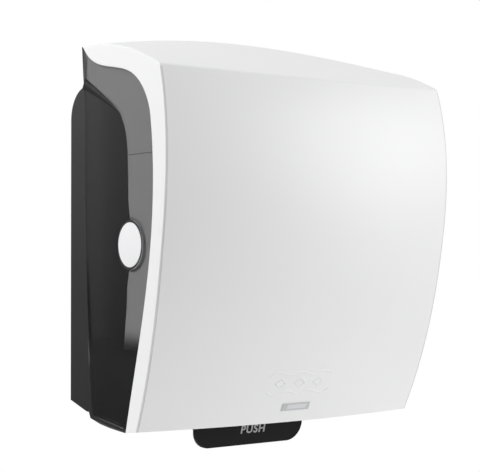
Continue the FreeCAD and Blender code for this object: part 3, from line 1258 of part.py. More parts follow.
def build_buttons():
    """Each button slides in a cup in the side and pushes a hooked latch out of the cheek."""
    face = half_width(dim["button_deep"], dim["button_up"])
    axis = FreeCAD.Vector(1, 0, 0)
    centre = (dim["button_deep"], dim["button_up"])
    arm_face = dim["housing_half"] - dim["housing_wall"] - dim["latch_gap"]
    # the button: a disc, lightly domed outside, on a stem with a round end
    outer_x = face + dim["button_proud"]
    dome = 230.0
    disc = Part.makeCylinder(dim["button_radius"], dim["button_wall"],
                             point(outer_x - dim["button_wall"], *centre), axis)
    disc = disc.common(Part.makeSphere(dome, point(outer_x - dome, *centre)))
    tip = arm_face + 0.3
    stem = Part.makeCylinder(dim["button_stem"], outer_x - dim["button_wall"] / 2 - tip - dim["button_stem"],
                             point(tip + dim["button_stem"], *centre), axis)
    end = Part.makeSphere(dim["button_stem"], point(tip + dim["button_stem"], *centre))
    button = disc.fuse([stem, end]).removeSplitter()
    pair("release_button", solid("release_button_right", button))
    # the cup round the button, its base plate and the two ears of the latch
    floor = face - dim["cup_depth"]
    cup = Part.makeCylinder(cup_radius(), face - 0.35 - floor, point(floor, *centre), axis)
    reach = 22
    base_front = dim["latch_pivot_deep"] + dim["latch_tail"]
    base_out = half_width(base_front, dim["button_up"] - reach) - dim["side_wall"] - 0.3
    base = Part.makeBox(2.8, base_front - (dim["button_deep"] - cup_radius()), 2 * reach,
                        point(base_out - 2.8, base_front, dim["button_up"] - reach))
    ears = []
    for level in (-1, 1):
        low = dim["button_up"] + level * (dim["latch_half"] + 2.3) - 2
        ears.append(Part.makeBox(base_out - 2 - (dim["latch_pivot_x"] - 4), 12, 4,
                                 point(dim["latch_pivot_x"] - 4, dim["latch_pivot_deep"] + 6, low)))
    hollow = Part.makeCylinder(dim["button_radius"] + dim["button_play"], 20,
                               point(floor + 2, *centre), axis)
    way = Part.makeCylinder(dim["button_stem"] + dim["button_play"], 30, point(floor - 10, *centre), axis)
    pin_reach = 1.5 * cup_radius()
    pin_way = Part.makeCylinder(dim["latch_pin"] + dim["shaft_play"], 2 * pin_reach,
                                point(dim["latch_pivot_x"], dim["latch_pivot_deep"],
                                      dim["button_up"] - pin_reach))
    housing = cup.fuse([base] + ears).cut([hollow, way, pin_way]).removeSplitter()
    pair("latch_housing", solid("latch_housing_right", housing))
    # the latch arm inside the cheek, its nose in the cheek's slot
    half = dim["latch_half"]
    tail_end = dim["latch_pivot_deep"] + dim["latch_tail"]
    arm = Part.makeBox(dim["latch_wall"], tail_end - dim["latch_tip_deep"], 2 * half,
                       point(arm_face - dim["latch_wall"], tail_end, dim["button_up"] - half))
    barrel = Part.makeCylinder(4, 2 * half, point(dim["latch_pivot_x"] - 0.4, dim["latch_pivot_deep"],
                                                  dim["button_up"] - half))
    nose_points = [point(arm_face - 0.5, dim["latch_tip_deep"], dim["button_up"] - half),
                   point(arm_face - 0.5, dim["latch_tip_deep"] + dim["latch_nose_length"], dim["button_up"] - half),
                   point(arm_face + dim["latch_nose"], dim["latch_tip_deep"] + dim["latch_nose_length"],
                         dim["button_up"] - half),
                   point(arm_face + dim["latch_nose"], dim["latch_tip_deep"] + 3, dim["button_up"] - half)]
    nose = Part.Face(Part.makePolygon(nose_points + nose_points[:1])).extrude(FreeCAD.Vector(0, 0, 2 * half))
    latch = arm.fuse([barrel, nose]).cut(pin_way).removeSplitter()
    pair("latch", solid("latch_right", latch))
    pair("latch_spring", solid("latch_spring_right", latch_spring(arm_face, base_out - 2.8)))
    reach = dim["latch_half"] + 5
    pins = [rod_z("latch_pin_%s" % side, "latch_pin", sign + "latch_pivot_x", "latch_pivot_deep",
                  "button_up - %s" % reach, "button_up + %s" % reach) for side, sign in (("right", ""), ("left", "-"))]
    piece("latch_pins", fuse("latch_pins", *pins))
    # the button's return spring, between the cup's floor and the disc
    room = outer_x - dim["button_wall"] - floor - 2
    spring = coil(9.5, dim["wire"] / 2, 3, room - dim["wire"] - 0.4)
    spring.rotate(FreeCAD.Vector(), FreeCAD.Vector(0, 1, 0), 90)
    spring.translate(point(floor + 2.2 + dim["wire"] / 2, *centre))
    pair("button_spring", solid("button_spring_right", spring))


def latch_spring(inner, outer):
    """A small spring between the base plate and the tail of the latch."""
    spring = coil(2.5, dim["wire"] / 2, 3, outer - inner - 0.4 - dim["wire"])
    spring.rotate(FreeCAD.Vector(), FreeCAD.Vector(0, 1, 0), 90)
    spring.translate(point(inner + 0.2 + dim["wire"] / 2,
                           dim["latch_pivot_deep"] + dim["latch_tail"] - 3.2, dim["button_up"]))
    return spring


# ---------------------------------------------------------------- bottom tray

def build_tray():
    """The black floor strip behind the cover's lower edge, with the notch for the lever."""
    edge = dim["front_edge_deep"] - dim["tray_setback"]
    bulge = dim["front_bulge"] * (1 - (dim["tray_half"] / dim["cover_half"]) ** 2)
    low = -dim["tray_under"]
    rear = dim["tray_rear_deep"]
    notch = dim["tray_notch_deep"]
    corners = [point(dim["tray_half"], edge + bulge, low), point(dim["tray_half"], rear, low),
               point(dim["lever_hole_half"], rear, low), point(dim["lever_hole_half"], notch, low),
               point(-dim["lever_hole_half"], notch, low), point(-dim["lever_hole_half"], rear, low),
               point(-dim["tray_half"], rear, low), point(-dim["tray_half"], edge + bulge, low)]
    front = Part.Arc(corners[-1], point(0, edge + dim["front_bulge"], low), corners[0]).toShape()
    lines = [Part.makeLine(corners[k], corners[k + 1]) for k in range(len(corners) - 1)]
    tray = Part.Face(Part.Wire([front] + lines)).extrude(FreeCAD.Vector(0, 0, dim["tray_wall"]))
    posts = []
    holes = []
    for side in (-1, 1):
        top = dim["cheek_foot_up"] - 0.1
        posts.append(Part.makeBox(10, 8, top - low, point(side * dim["tray_screw_x"] - 5,
                                                          tray_screw_deep() + 4, low)))
        holes.append(Part.makeCylinder(dim["frame_screw"] + 0.1, 3 * (top - low),
                                       point(side * dim["tray_screw_x"], tray_screw_deep(), low - 5)))
    outer_leg = lever_spring_start() + dim["lever_spring_length"]
    rib_front = dim["lever_deep"] + dim["shaft_radius"] + 0.6 - 0.3
    for side in (-1, 1):
        posts.append(Part.makeBox(4, 3, 8, point(side * outer_leg - 2, rib_front, low + dim["tray_wall"])))
    piece("bottom_tray", solid("bottom_tray", tray.fuse(posts).cut(holes).removeSplitter()))
    screws = []
    for side, sign in (("right", ""), ("left", "-")):
        spot = (sign + "tray_screw_x", "cheek_foot_deep - 5")
        head = rod_z("tray_screw_head_" + side, "2 * frame_screw", spot[0], spot[1],
                     "-tray_under - 1.5", "-tray_under")
        shank = rod_z("tray_screw_shank_" + side, "frame_screw", spot[0], spot[1],
                      "-tray_under", "cheek_foot_up + housing_wall")
        screws.append(fuse("tray_screw_" + side, head, shank))
    piece("tray_screws", fuse("tray_screws", *screws))


def tray_screw_deep():
    return dim["cheek_foot_deep"] - 5


# ---------------------------------------------------------------- build and write

build_cover()
build_hinge()
build_housing()
build_frame()
build_roller()
build_pinch()
build_guides()
build_lever()
build_roll_holder()
build_buttons()
build_tray()
doc.recompute()

faults = []
for obj in doc.Objects:
    if "Invalid" in obj.State or "Error" in obj.State:
        faults.append("%s: %s" % (obj.Label, obj.State))
for obj in parts:
    if obj.Shape.isNull() or not obj.Shape.isValid() or not obj.Shape.Solids:
        faults.append("%s has no valid solid" % obj.Label)
if faults:
    raise SystemExit("\n".join(faults))

os.makedirs("parts", exist_ok=True)
for obj in parts:
    obj.Shape.exportStep("parts/%s.step" % obj.Label)
    box = obj.Shape.BoundBox
    print("%-22s %2d solids %9.0f mm3  x %6.1f %6.1f  y %6.1f %6.1f  z %6.1f %6.1f" % (
        obj.Label, len(obj.Shape.Solids), obj.Shape.Volume,
        box.XMin, box.XMax, box.YMin, box.YMax, box.ZMin, box.ZMax))
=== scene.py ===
import json
import math

import bmesh
import bpy
import numpy as np
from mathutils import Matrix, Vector


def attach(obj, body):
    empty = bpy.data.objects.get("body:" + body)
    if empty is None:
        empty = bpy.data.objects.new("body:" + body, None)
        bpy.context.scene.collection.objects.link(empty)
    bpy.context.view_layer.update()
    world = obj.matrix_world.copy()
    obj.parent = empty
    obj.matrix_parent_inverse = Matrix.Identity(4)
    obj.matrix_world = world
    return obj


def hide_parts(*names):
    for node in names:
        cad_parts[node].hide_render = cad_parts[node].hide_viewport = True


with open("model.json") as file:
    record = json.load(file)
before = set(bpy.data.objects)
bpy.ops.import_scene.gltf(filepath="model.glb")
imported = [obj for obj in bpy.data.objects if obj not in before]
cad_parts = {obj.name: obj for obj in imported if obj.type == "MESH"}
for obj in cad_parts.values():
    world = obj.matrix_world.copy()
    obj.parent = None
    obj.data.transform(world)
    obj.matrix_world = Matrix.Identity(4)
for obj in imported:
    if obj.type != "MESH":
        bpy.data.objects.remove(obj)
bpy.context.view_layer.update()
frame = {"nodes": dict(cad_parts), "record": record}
nodes = frame["nodes"]
print("frame loaded,", len(nodes), "nodes")


# shader building: a number in the tree, and the material that it belongs to

class Value:
    # a shader number; sums, differences and products of values add their Math nodes
    def __init__(self, finish, socket):
        self.finish = finish
        self.socket = socket

    def combine(self, operation, first, second):
        return self.finish.node("ShaderNodeMath", {"operation": operation}, {0: first, 1: second})

    def __add__(self, other):
        return self.combine("ADD", self, other)

    def __sub__(self, other):
        return self.combine("SUBTRACT", self, other)

    def __rsub__(self, other):
        return self.combine("SUBTRACT", other, self)

    def __mul__(self, other):
        return self.combine("MULTIPLY", self, other)

    def __pow__(self, other):
        return self.combine("POWER", self, other)

    __radd__ = __add__
    __rmul__ = __mul__


class Finish:
    # one material or the world: every node comes from the same method
    def __init__(self, owner):
        self.owner = owner
        owner.use_nodes = True
        self.tree = owner.node_tree
        self.tree.nodes.clear()

    def node(self, kind, settings=None, inputs=None, output=0):
        made = self.tree.nodes.new(kind)
        for name, setting in (settings or {}).items():
            if name == "stops":
                self.setStops(made.color_ramp, setting)
            else:
                setattr(made, name, setting)
        for name, value in (inputs or {}).items():
            if isinstance(value, Value):
                self.tree.links.new(value.socket, made.inputs[name])
            else:
                made.inputs[name].default_value = value
        return Value(self, made.outputs[output]) if made.outputs else made

    def setStops(self, ramp, stops):
        for at, grey in stops[1:-1]:
            ramp.elements.new(at).color = (grey, grey, grey, 1)
        for element, (at, grey) in ((ramp.elements[0], stops[0]), (ramp.elements[-1], stops[-1])):
            element.position = at
            element.color = (grey, grey, grey, 1)

    def coordinates(self, stretch=None):
        place = self.node("ShaderNodeTexCoord", output="Object")
        if stretch is None:
            return place
        return self.node("ShaderNodeVectorMath", {"operation": "MULTIPLY"}, {0: place, 1: stretch})

    def noise(self, scale, detail=2.0, stretch=None):
        return self.node("ShaderNodeTexNoise", {}, {"Vector": self.coordinates(stretch), "Scale": scale,
                                                    "Detail": detail})

    def axis(self, name):
        return self.node("ShaderNodeSeparateXYZ", {}, {"Vector": self.coordinates()}, name)

    def smoothRange(self, value, low, high, atLow=0.0, atHigh=1.0):
        return self.node("ShaderNodeMapRange", {"interpolation_type": "SMOOTHSTEP"},
                         {"Value": value, "From Min": low, "From Max": high, "To Min": atLow,
                          "To Max": atHigh})

    def blend(self, share, first, second):
        # the Mix node's colours are its inputs 6 and 7 and its output 2
        inputs = {0: share, 6: (*first, 1), 7: (*second, 1)}
        return self.node("ShaderNodeMix", {"data_type": "RGBA"}, inputs, 2)

    def bump(self, height, strength, distance):
        return self.node("ShaderNodeBump", {}, {"Height": height, "Strength": strength, "Distance": distance})

    def surface(self, inputs):
        shader = self.node("ShaderNodeBsdfPrincipled", {}, inputs)
        self.node("ShaderNodeOutputMaterial", {}, {"Surface": shader})
        return self.owner


# finishes: plastics with a moulded grain, turned and drawn steel, smoked sheet

plastics = {
    "white_shell": {"colour": (0.85, 0.85, 0.855), "shade": 0.985, "cloud": 14.0, "roughness": 0.42,
                    "drift": 0.06, "grain": 1500.0, "depth": 0.000012},
    "white_button": {"colour": (0.85, 0.85, 0.86), "shade": 0.98, "cloud": 40.0, "roughness": 0.3,
                     "drift": 0.05, "grain": 2200.0, "depth": 0.000008},
    "black_housing": {"colour": (0.012, 0.012, 0.013), "shade": 0.8, "cloud": 22.0, "roughness": 0.38,
                      "drift": 0.08, "grain": 2600.0, "depth": 0.00003},
    "lever_plastic": {"colour": (0.006, 0.006, 0.0064), "shade": 0.8, "cloud": 30.0, "roughness": 0.44,
                      "drift": 0.08, "grain": 2400.0, "depth": 0.00002, "specular": 0.2},
    "mechanism_plastic": {"colour": (0.028, 0.028, 0.03), "shade": 0.75, "cloud": 35.0, "roughness": 0.52,
                          "drift": 0.1, "grain": 2000.0, "depth": 0.00003},
    "grey_plastic": {"colour": (0.12, 0.125, 0.135), "shade": 0.88, "cloud": 35.0, "roughness": 0.46,
                     "drift": 0.1, "grain": 2000.0, "depth": 0.00002},
    "gear_plastic": {"colour": (0.7, 0.69, 0.64), "shade": 0.92, "cloud": 60.0, "roughness": 0.42,
                     "drift": 0.12, "grain": 1600.0, "depth": 0.00001},
    "bush_plastic": {"colour": (0.6, 0.57, 0.49), "shade": 0.9, "cloud": 80.0, "roughness": 0.5,
                     "drift": 0.1, "grain": 1800.0, "depth": 0.00001},
    "rubber": {"colour": (0.017, 0.017, 0.018), "shade": 0.7, "cloud": 50.0, "roughness": 0.78,
               "drift": 0.12, "grain": 1400.0, "depth": 0.00006},
}
moulded = {"detail": 1.0, "bump": 0.35, "specular": 0.5}


def makePlastic(name, look):
    finish = Finish(bpy.data.materials.new(name))
    cloud = finish.noise(look["cloud"])
    dark = tuple(channel * look["shade"] for channel in look["colour"])
    height = finish.noise(look["grain"], moulded["detail"])
    return finish.surface({
        "Base Color": finish.blend(cloud, dark, look["colour"]),
        "Roughness": look["roughness"] + look["drift"] * (cloud - 0.5),
        "Specular IOR Level": look.get("specular", moulded["specular"]),
        "Normal": finish.bump(height, moulded["bump"], look["depth"])})


metals = {
    "shaft_steel": {"colour": (0.56, 0.56, 0.57), "shade": 0.85, "stretch": (900, 14, 14),
                    "roughness": 0.24},
    "blade_steel": {"colour": (0.6, 0.6, 0.61), "shade": 0.85, "stretch": (12, 900, 900),
                    "roughness": 0.3},
    "spring_steel": {"colour": (0.42, 0.42, 0.43), "shade": 0.8, "stretch": (300, 300, 300),
                     "roughness": 0.36},
    "screw_steel": {"colour": (0.52, 0.52, 0.54), "shade": 0.8, "stretch": (160, 500, 160),
                    "roughness": 0.32},
}
drawn = {"detail": 3.0, "drift": 0.16, "bump": 0.25, "depth": 0.00001}


def makeMetal(name, look):
    finish = Finish(bpy.data.materials.new(name))
    lines = finish.noise(1.0, drawn["detail"], look["stretch"])
    dark = tuple(channel * look["shade"] for channel in look["colour"])
    return finish.surface({
        "Base Color": finish.blend(lines, dark, look["colour"]),
        "Metallic": 1.0,
        "Roughness": look["roughness"] + drawn["drift"] * (lines - 0.5),
        "Normal": finish.bump(lines, drawn["bump"], drawn["depth"])})


smoked = {
    "colour": (0.011, 0.011, 0.012),
    "clear": 0.335,
    "dark": 0.9,
    "fadeFoot": -0.151,
    "fadeTop": -0.117,
    "rearFoot": (0.062, -0.202),
    "rearTop": (0.047, 0.142),
    "border": 0.0035,
    "borderFrom": 0.7,
    "roughness": 0.16,
    "haze": 26.0,
    "drift": 0.05,
}


def makeSmoked(name):
    # see-through above the fade, nearly black below it and along the rear edge
    finish = Finish(bpy.data.materials.new(name))
    height = finish.axis("Z")
    deep = finish.axis("Y") * -1.0
    (footDeep, footUp), (topDeep, topUp) = smoked["rearFoot"], smoked["rearTop"]
    slope = (topDeep - footDeep) / (topUp - footUp)
    behind = deep - (height - footUp) * slope - footDeep
    fade = finish.smoothRange(height, smoked["fadeFoot"], smoked["fadeTop"])
    edge = finish.smoothRange(behind, smoked["border"] * smoked["borderFrom"], smoked["border"])
    clear = fade * edge
    haze = finish.noise(smoked["haze"])
    return finish.surface({
        "Base Color": (*smoked["colour"], 1),
        "Roughness": smoked["roughness"] + smoked["drift"] * (haze - 0.5),
        "Alpha": smoked["dark"] + (smoked["clear"] - smoked["dark"]) * clear})


badge = {
    "colour": (0.55, 0.56, 0.575),
    "shade": 0.92,
    "stretch": (40, 900, 2400),
    "roughness": 0.34,
    "detail": 2.0,
    "drift": 0.1,
    "bump": 0.2,
    "depth": 0.000008,
    "plateLift": 1.0,
    "fieldLift": 1.25,
}


def makeBadgeMetal(name, lift):
    finish = Finish(bpy.data.materials.new(name))
    lines = finish.noise(1.0, badge["detail"], badge["stretch"])
    light = tuple(min(1, channel * lift) for channel in badge["colour"])
    dark = tuple(channel * badge["shade"] for channel in light)
    return finish.surface({
        "Base Color": finish.blend(lines, dark, light),
        "Roughness": badge["roughness"] + badge["drift"] * (lines - 0.5),
        "Normal": finish.bump(lines, badge["bump"], badge["depth"])})


latchCup = {
    "centre": (0.137, -0.043),
    "rim": 0.0224,
    "half": 0.008,
    "blur": 0.00002,
    "colour": (0.8, 0.8, 0.805),
    "roughness": 0.45,
    "cloud": 30.0,
    "drift": 0.06,
}


def makeLatchCup():
    # black as far as the rim of the cup, white outside it on the half towards the front: the share
    # steps up with the distance from the axis of the button
    finish = Finish(bpy.data.materials.new("latch_cup"))
    (deep, up), rim, blur = latchCup["centre"], latchCup["rim"], latchCup["blur"]
    distance = ((finish.axis("Y") + deep) ** 2 + (finish.axis("Z") - up) ** 2) ** 0.5
    outside = finish.smoothRange(distance, rim - blur, rim + blur)
    forward = finish.smoothRange(finish.axis("Y"), -deep - latchCup["half"], -deep, 1.0, 0.0)
    cloud = finish.noise(latchCup["cloud"])
    black = plastics["black_housing"]["colour"]
    return finish.surface({
        "Base Color": finish.blend(outside * forward, black, latchCup["colour"]),
        "Roughness": latchCup["roughness"] + latchCup["drift"] * (cloud - 0.5)})


materials = {name: makePlastic(name, look) for name, look in plastics.items()}
materials.update({name: makeMetal(name, look) for name, look in metals.items()})
materials["smoked_window"] = makeSmoked("smoked_window")
materials["badge"] = makeBadgeMetal("badge", badge["plateLift"])
for entry in frame["record"]["subparts"]:
    mesh = nodes[entry["node"]].data
    mesh.materials.clear()
    mesh.materials.append(materials[entry["material_slot"]])
latchCupFinish = makeLatchCup()
for name in ("latch_housing_left", "latch_housing_right"):
    nodes[name].data.materials[0] = latchCupFinish
print("finishes given to", len(nodes), "nodes")


# surfaces: curves, grids and shells, in millimetres until they are put in the frame

def sampleSpline(points, count):
    # cubic through the points with a continuous second derivative; its end slopes are those of the
    # cubic through the four outermost points; the parameter runs with the chord length
    knots = np.array(points, float)
    at = np.concatenate([[0], np.cumsum(np.linalg.norm(np.diff(knots, axis=0), axis=1))])
    step = np.diff(at)[:, None]
    chord = np.diff(knots, axis=0) / step
    size = len(at)
    matrix = np.eye(size)
    right = np.zeros_like(knots)
    for end, some in ((0, slice(0, 4)), (-1, slice(size - 4, size))):
        for axis in (0, 1):
            outer = np.polyfit(at[some], knots[some, axis], 3)
            right[end, axis] = np.polyval(np.polyder(outer), at[end])
    for k in range(1, size - 1):
        before, after = step[k - 1, 0], step[k, 0]
        matrix[k, k - 1:k + 2] = (after, 2 * (before + after), before)
        right[k] = 3 * (after * chord[k - 1] + before * chord[k])
    slopes = np.linalg.solve(matrix, right)
    t = np.linspace(0, at[-1], count)
    k = np.clip(np.searchsorted(at, t, side="right") - 1, 0, size - 2)
    s = (t[:, None] - at[k][:, None]) / step[k]
    return ((1 + 2 * s) * (1 - s) ** 2 * knots[k] + s * (1 - s) ** 2 * step[k] * slopes[k]
            + s * s * (3 - 2 * s) * knots[k + 1] + s * s * (s - 1) * step[k] * slopes[k + 1])


def sampleArc(points, count):
    # circle through three points: its centre from the two perpendicular bisectors, then equal angles
    first, middle, last = (np.array(p, float) for p in points)
    matrix = 2 * np.array([middle - first, last - first])
    centre = np.linalg.solve(matrix, [middle @ middle - first @ first, last @ last - first @ first])
    turn = np.unwrap([math.atan2(p[1] - centre[1], p[0] - centre[0]) for p in (first, middle, last)])
    angle = np.linspace(turn[0], turn[2], count)
    return centre + np.linalg.norm(first - centre) * np.stack([np.cos(angle), np.sin(angle)], axis=1)


def sampleLine(line, shares):
    # points of a polyline at the given shares of its length
    line = np.array(line, float)
    run = np.concatenate([[0], np.cumsum(np.linalg.norm(np.diff(line, axis=0), axis=1))])
    return np.stack([np.interp(shares * run[-1], run, line[:, axis]) for axis in (0, 1)], axis=1)


def roundCorner(before, corner, after, count):
    # quadratic curve from before to after whose middle point is the corner, without its two ends
    q = np.linspace(0, 1, count + 2)[1:-1].reshape((-1,) + (1,) * np.ndim(corner))
    return (1 - q) ** 2 * before + 2 * q * (1 - q) * corner + q * q * after


def toFrame(x, deep, up):
    # millimetres across, before the wall and above the cover's edge, as places in metres
    return np.stack(np.broadcast_arrays(x, -deep, up - cover["edgeDrop"]), axis=-1) / 1000


def cellCorners(index):
    # the four corners of every cell of a grid of point numbers
    corners = [index[:-1, :-1], index[:-1, 1:], index[1:, 1:], index[1:, :-1]]
    return np.stack(corners, axis=-1).reshape(-1, 4)


def gridFaces(rows, columns, start=0):
    # corners of every cell of a grid whose points are counted row by row
    return cellCorners(start + np.arange(rows * columns).reshape(rows, columns))


def shellFaces(rows, columns, start=0):
    # two grids of the same size, joined along their four borders to a closed shell
    index = start + np.arange(rows * columns).reshape(rows, columns)
    border = np.concatenate([index[0, :-1], index[:-1, -1], index[-1, :0:-1], index[:0:-1, 0]])
    follow = np.roll(border, -1)
    shift = rows * columns
    walls = np.stack([follow, border, border + shift, follow + shift], axis=1)
    near, far = gridFaces(rows, columns, start), gridFaces(rows, columns, start + shift)
    return np.concatenate([near, far[:, ::-1], walls])


meshing = {"weld": 0.000002, "sharp": 0.7}


def addPiece(name, points, faces, slot, body, sharp=meshing["sharp"]):
    # a mesh from points in metres and faces as an array or a list, welded, shaded smooth as far as
    # the angle called sharp, and given to its body and slot
    mesh = bpy.data.meshes.new(name)
    cells = faces if isinstance(faces, list) else faces.tolist()
    mesh.from_pydata(points.reshape(-1, 3).tolist(), [], cells)
    work = bmesh.new()
    work.from_mesh(mesh)
    bmesh.ops.remove_doubles(work, verts=work.verts, dist=meshing["weld"])
    bmesh.ops.recalc_face_normals(work, faces=work.faces)
    work.to_mesh(mesh)
    work.free()
    mesh.shade_smooth()
    mesh.set_sharp_from_angle(angle=sharp)
    mesh.materials.append(materials[slot])
    thing = bpy.data.objects.new(name, mesh)
    bpy.context.scene.collection.objects.link(thing)
    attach(thing, body)
    return thing


# cover: the white shell as one sheet from the left window's seat over the skin to the right one's

cover = {
    "edgeDrop": 210.0,
    "cornerHalf": 165.0,
    "widestUp": 212.0,
    "sideBow": 7360.0,
    "sideFlare": 2.5,
    "flareFrom": 197.0,
    "flareLength": 151.0,
    "frontBulge": 18.0,
    "browCrown": -4.0,
    "browPower": 6,
    "crestCrown": 18.0,
    "front": [(138, 0), (169, 76), (189, 160), (197, 235), (184, 324)],
    "top": [(184, 324), (117, 347.5), (46, 355)],
    "windowFront": [(120.6, -2.5), (148.5, 76), (171, 160), (176.6, 230), (170.5, 283)],
    "windowCorner": [(170.5, 283), (159.5, 303.5), (139, 320)],
    "windowTop": [(139, 320), (90, 332), (62, 342), (48, 355)],
    "frontWall": 3.0,
    "sideWall": 5.2,
    "windowStep": 2.75,
    "ledge": 1.5,
    "creaseRound": 1.5,
    "creaseMost": 0.35,
    "browRound": 2.4,
    "browNext": 1.3,
    "rimRound": 0.4,
    "rimMost": 0.2,
    "rimSteps": 2,
    "endRow": 0.4,
    "frontRows": 84,
    "topRows": 56,
    "roundRows": 7,
    "skinColumns": 93,
    "skinEnd": 0.996,
    "rimColumns": 7,
    "rimEnds": ((0, 0.04), (0.12, 0.9), (0.97, 1)),
    "cornerPoints": 61,
    "fine": 400,
    "halfRounds": 4,
    "sharp": 1.0,
    "edgeWidth": 0.0003,
    "edgeSegments": 2,
    "edgeAngle": 1.1,
}


def halfWidth(deep, up):
    # half width at the corner, less the bow (square of the height from the widest point), plus the
    # flare towards the wall
    flare = cover["sideFlare"] * (cover["flareFrom"] - deep) / cover["flareLength"]
    return cover["cornerHalf"] - (up - cover["widestUp"]) ** 2 / cover["sideBow"] + flare


def sectionLine(share, inset):
    # side section: the front spline and the top arc, moved by share times bulge and crowns and
    # drawn in by inset; the brow's crown grows with a power of the way up, and the corner between
    # spline and arc is rounded by a quadratic curve
    fine = cover["fine"]
    front, top = sampleSpline(cover["front"], fine), sampleArc(cover["top"], fine)
    rise = np.linspace(0, 1, fine)
    brow, crest = cover["browCrown"] * share, cover["crestCrown"] * share
    bulge = cover["frontBulge"] * share - inset
    front += np.stack([np.full(fine, bulge), (brow - inset) * rise ** cover["browPower"]], axis=1)
    top += np.stack([bulge * (1 - rise), brow + (crest - brow) * rise - inset], axis=1)
    lengths = [np.linalg.norm(np.diff(line, axis=0), axis=1).sum() for line in (front, top)]
    cut, end = cover["browRound"], cover["endRow"]
    low, high, beside = cut / lengths[0], cut / lengths[1], cover["browNext"]
    frontRows = np.linspace(end / lengths[0], 1 - beside * low, cover["frontRows"])
    topRows = np.linspace(beside * high, 1 - end / lengths[1], cover["topRows"])
    frontShares = np.concatenate([[0], frontRows, [1 - low]])
    topShares = np.concatenate([[high], topRows, [1]])
    before, after = sampleLine(front, frontShares), sampleLine(top, topShares)
    return np.concatenate([before, roundCorner(before[-1], top[0], after[0], cover["roundRows"]), after])


def windowLine():
    # the window's outline, one point for each row of the section: the foot to the middle of the
    # corner beside the front, and on to the crest beside the top
    fine, middle = cover["fine"], cover["cornerPoints"] // 2
    corner = sampleArc(cover["windowCorner"], cover["cornerPoints"])
    lower = np.concatenate([sampleSpline(cover["windowFront"], fine), corner[1:middle + 1]])
    upper = np.concatenate([corner[middle:], sampleSpline(cover["windowTop"], fine)[1:]])
    split = cover["frontRows"] + 2 + cover["roundRows"] // 2
    rest = cover["topRows"] + 2 + cover["roundRows"] - cover["roundRows"] // 2
    return np.concatenate([sampleLine(lower, np.linspace(0, 1, split)),
                           sampleLine(upper, np.linspace(0, 1, rest + 1)[1:])])


def skinPoints(x, inset):
    # the skin at x: the side section plus 1 - (x / corner half width) squared times its difference
    # from the middle section
    side, middle = sectionLine(0, inset)[:, None], sectionLine(1, inset)[:, None]
    share = (1 - (x / cover["cornerHalf"]) ** 2)[..., None]
    place = side + share * (middle - side)
    return place[..., 0], place[..., 1]


def edgeHalf(inset, wall):
    # where skin and side meet, found by evaluating one from the other in a few rounds
    half = np.full((len(sectionLine(0, 0)), 1), cover["cornerHalf"])
    for _ in range(cover["halfRounds"]):
        half = halfWidth(*skinPoints(half, inset)) - wall
    return half


def sideColumns(outline):
    # right side, from the crease to the ledge: straight lines from the corner to the outline on the
    # side face, with rounded crease and rim, then a step inwards and a ledge under the window
    half = edgeHalf(0, 0)
    corner = np.stack(skinPoints(half, 0), axis=-1)[:, 0]
    across = outline - corner
    length = np.linalg.norm(across, axis=1, keepdims=True)
    across /= length
    crease = np.minimum(cover["creaseRound"], cover["creaseMost"] * length)
    rim = np.minimum(cover["rimRound"], cover["rimMost"] * length)

    def onSide(place, depth):
        return np.concatenate([halfWidth(place[:, :1], place[:, 1:]) - depth, place], axis=1)

    inner = half - crease
    start = np.concatenate([inner, np.stack(skinPoints(inner, 0), axis=-1)[:, 0]], axis=1)
    first, last = corner + crease * across, outline - rim * across
    near, between, far = cover["rimEnds"]
    shares = np.concatenate([near, np.linspace(*between, cover["rimColumns"]), far])
    seat = outline + cover["ledge"] * across
    columns = [start]
    columns += list(roundCorner(start, onSide(corner, 0), onSide(first, 0), cover["roundRows"]))
    columns += [onSide(first + share * (last - first), 0) for share in shares]
    columns += list(roundCorner(onSide(last, 0), onSide(outline, 0), onSide(outline, rim), cover["rimSteps"]))
    columns += [onSide(outline, depth) for depth in (rim, cover["windowStep"])]
    columns += [onSide(seat, cover["windowStep"])]
    return np.stack(columns, axis=1), seat


def makeCover():
    # outer sheet: the left side mirrored from the right one, the skin between the creases, the right
    # side; inner sheet: as many columns, one wall further in, from seat to seat
    outline = windowLine()
    right, seat = sideColumns(outline)
    u, end = np.linspace(-1, 1, cover["skinColumns"]), cover["skinEnd"]
    u = np.concatenate([[-1, -end], u[1:-1], [end, 1]])
    x = u * right[:, :1, 0]
    skin = np.stack([x, *skinPoints(x, 0)], axis=-1)
    left = right[:, :0:-1] * (-1, 1, 1)
    outer = np.concatenate([left, skin, right[:, 1:]], axis=1)
    half = edgeHalf(cover["frontWall"], cover["sideWall"])
    x = u * half
    skin = np.stack([x, *skinPoints(x, cover["frontWall"])], axis=-1)
    shares = np.linspace(0, 1, right.shape[1])[:, None, None]
    strip = np.moveaxis((1 - shares) * skin[:, -1, 1:] + shares * seat, 0, 1)
    right = np.concatenate([halfWidth(strip[..., :1], strip[..., 1:]) - cover["sideWall"], strip], axis=-1)
    inner = np.concatenate([right[:, :0:-1] * (-1, 1, 1), skin, right[:, 1:]], axis=1)
    points = np.concatenate([toFrame(*np.moveaxis(sheet, -1, 0)).reshape(-1, 3) for sheet in (outer, inner)])
    faces = shellFaces(*outer.shape[:2])
    shell = addPiece("coverShell", points, faces, "white_shell", "cover", cover["sharp"])
    edges = shell.modifiers.new("edges", "BEVEL")
    edges.width = cover["edgeWidth"]
    edges.segments = cover["edgeSegments"]
    edges.limit_method = "ANGLE"
    edges.angle_limit = cover["edgeAngle"]
    return shell, seat


# liners: the white inner side walls behind the windows, each with a hole round the release button

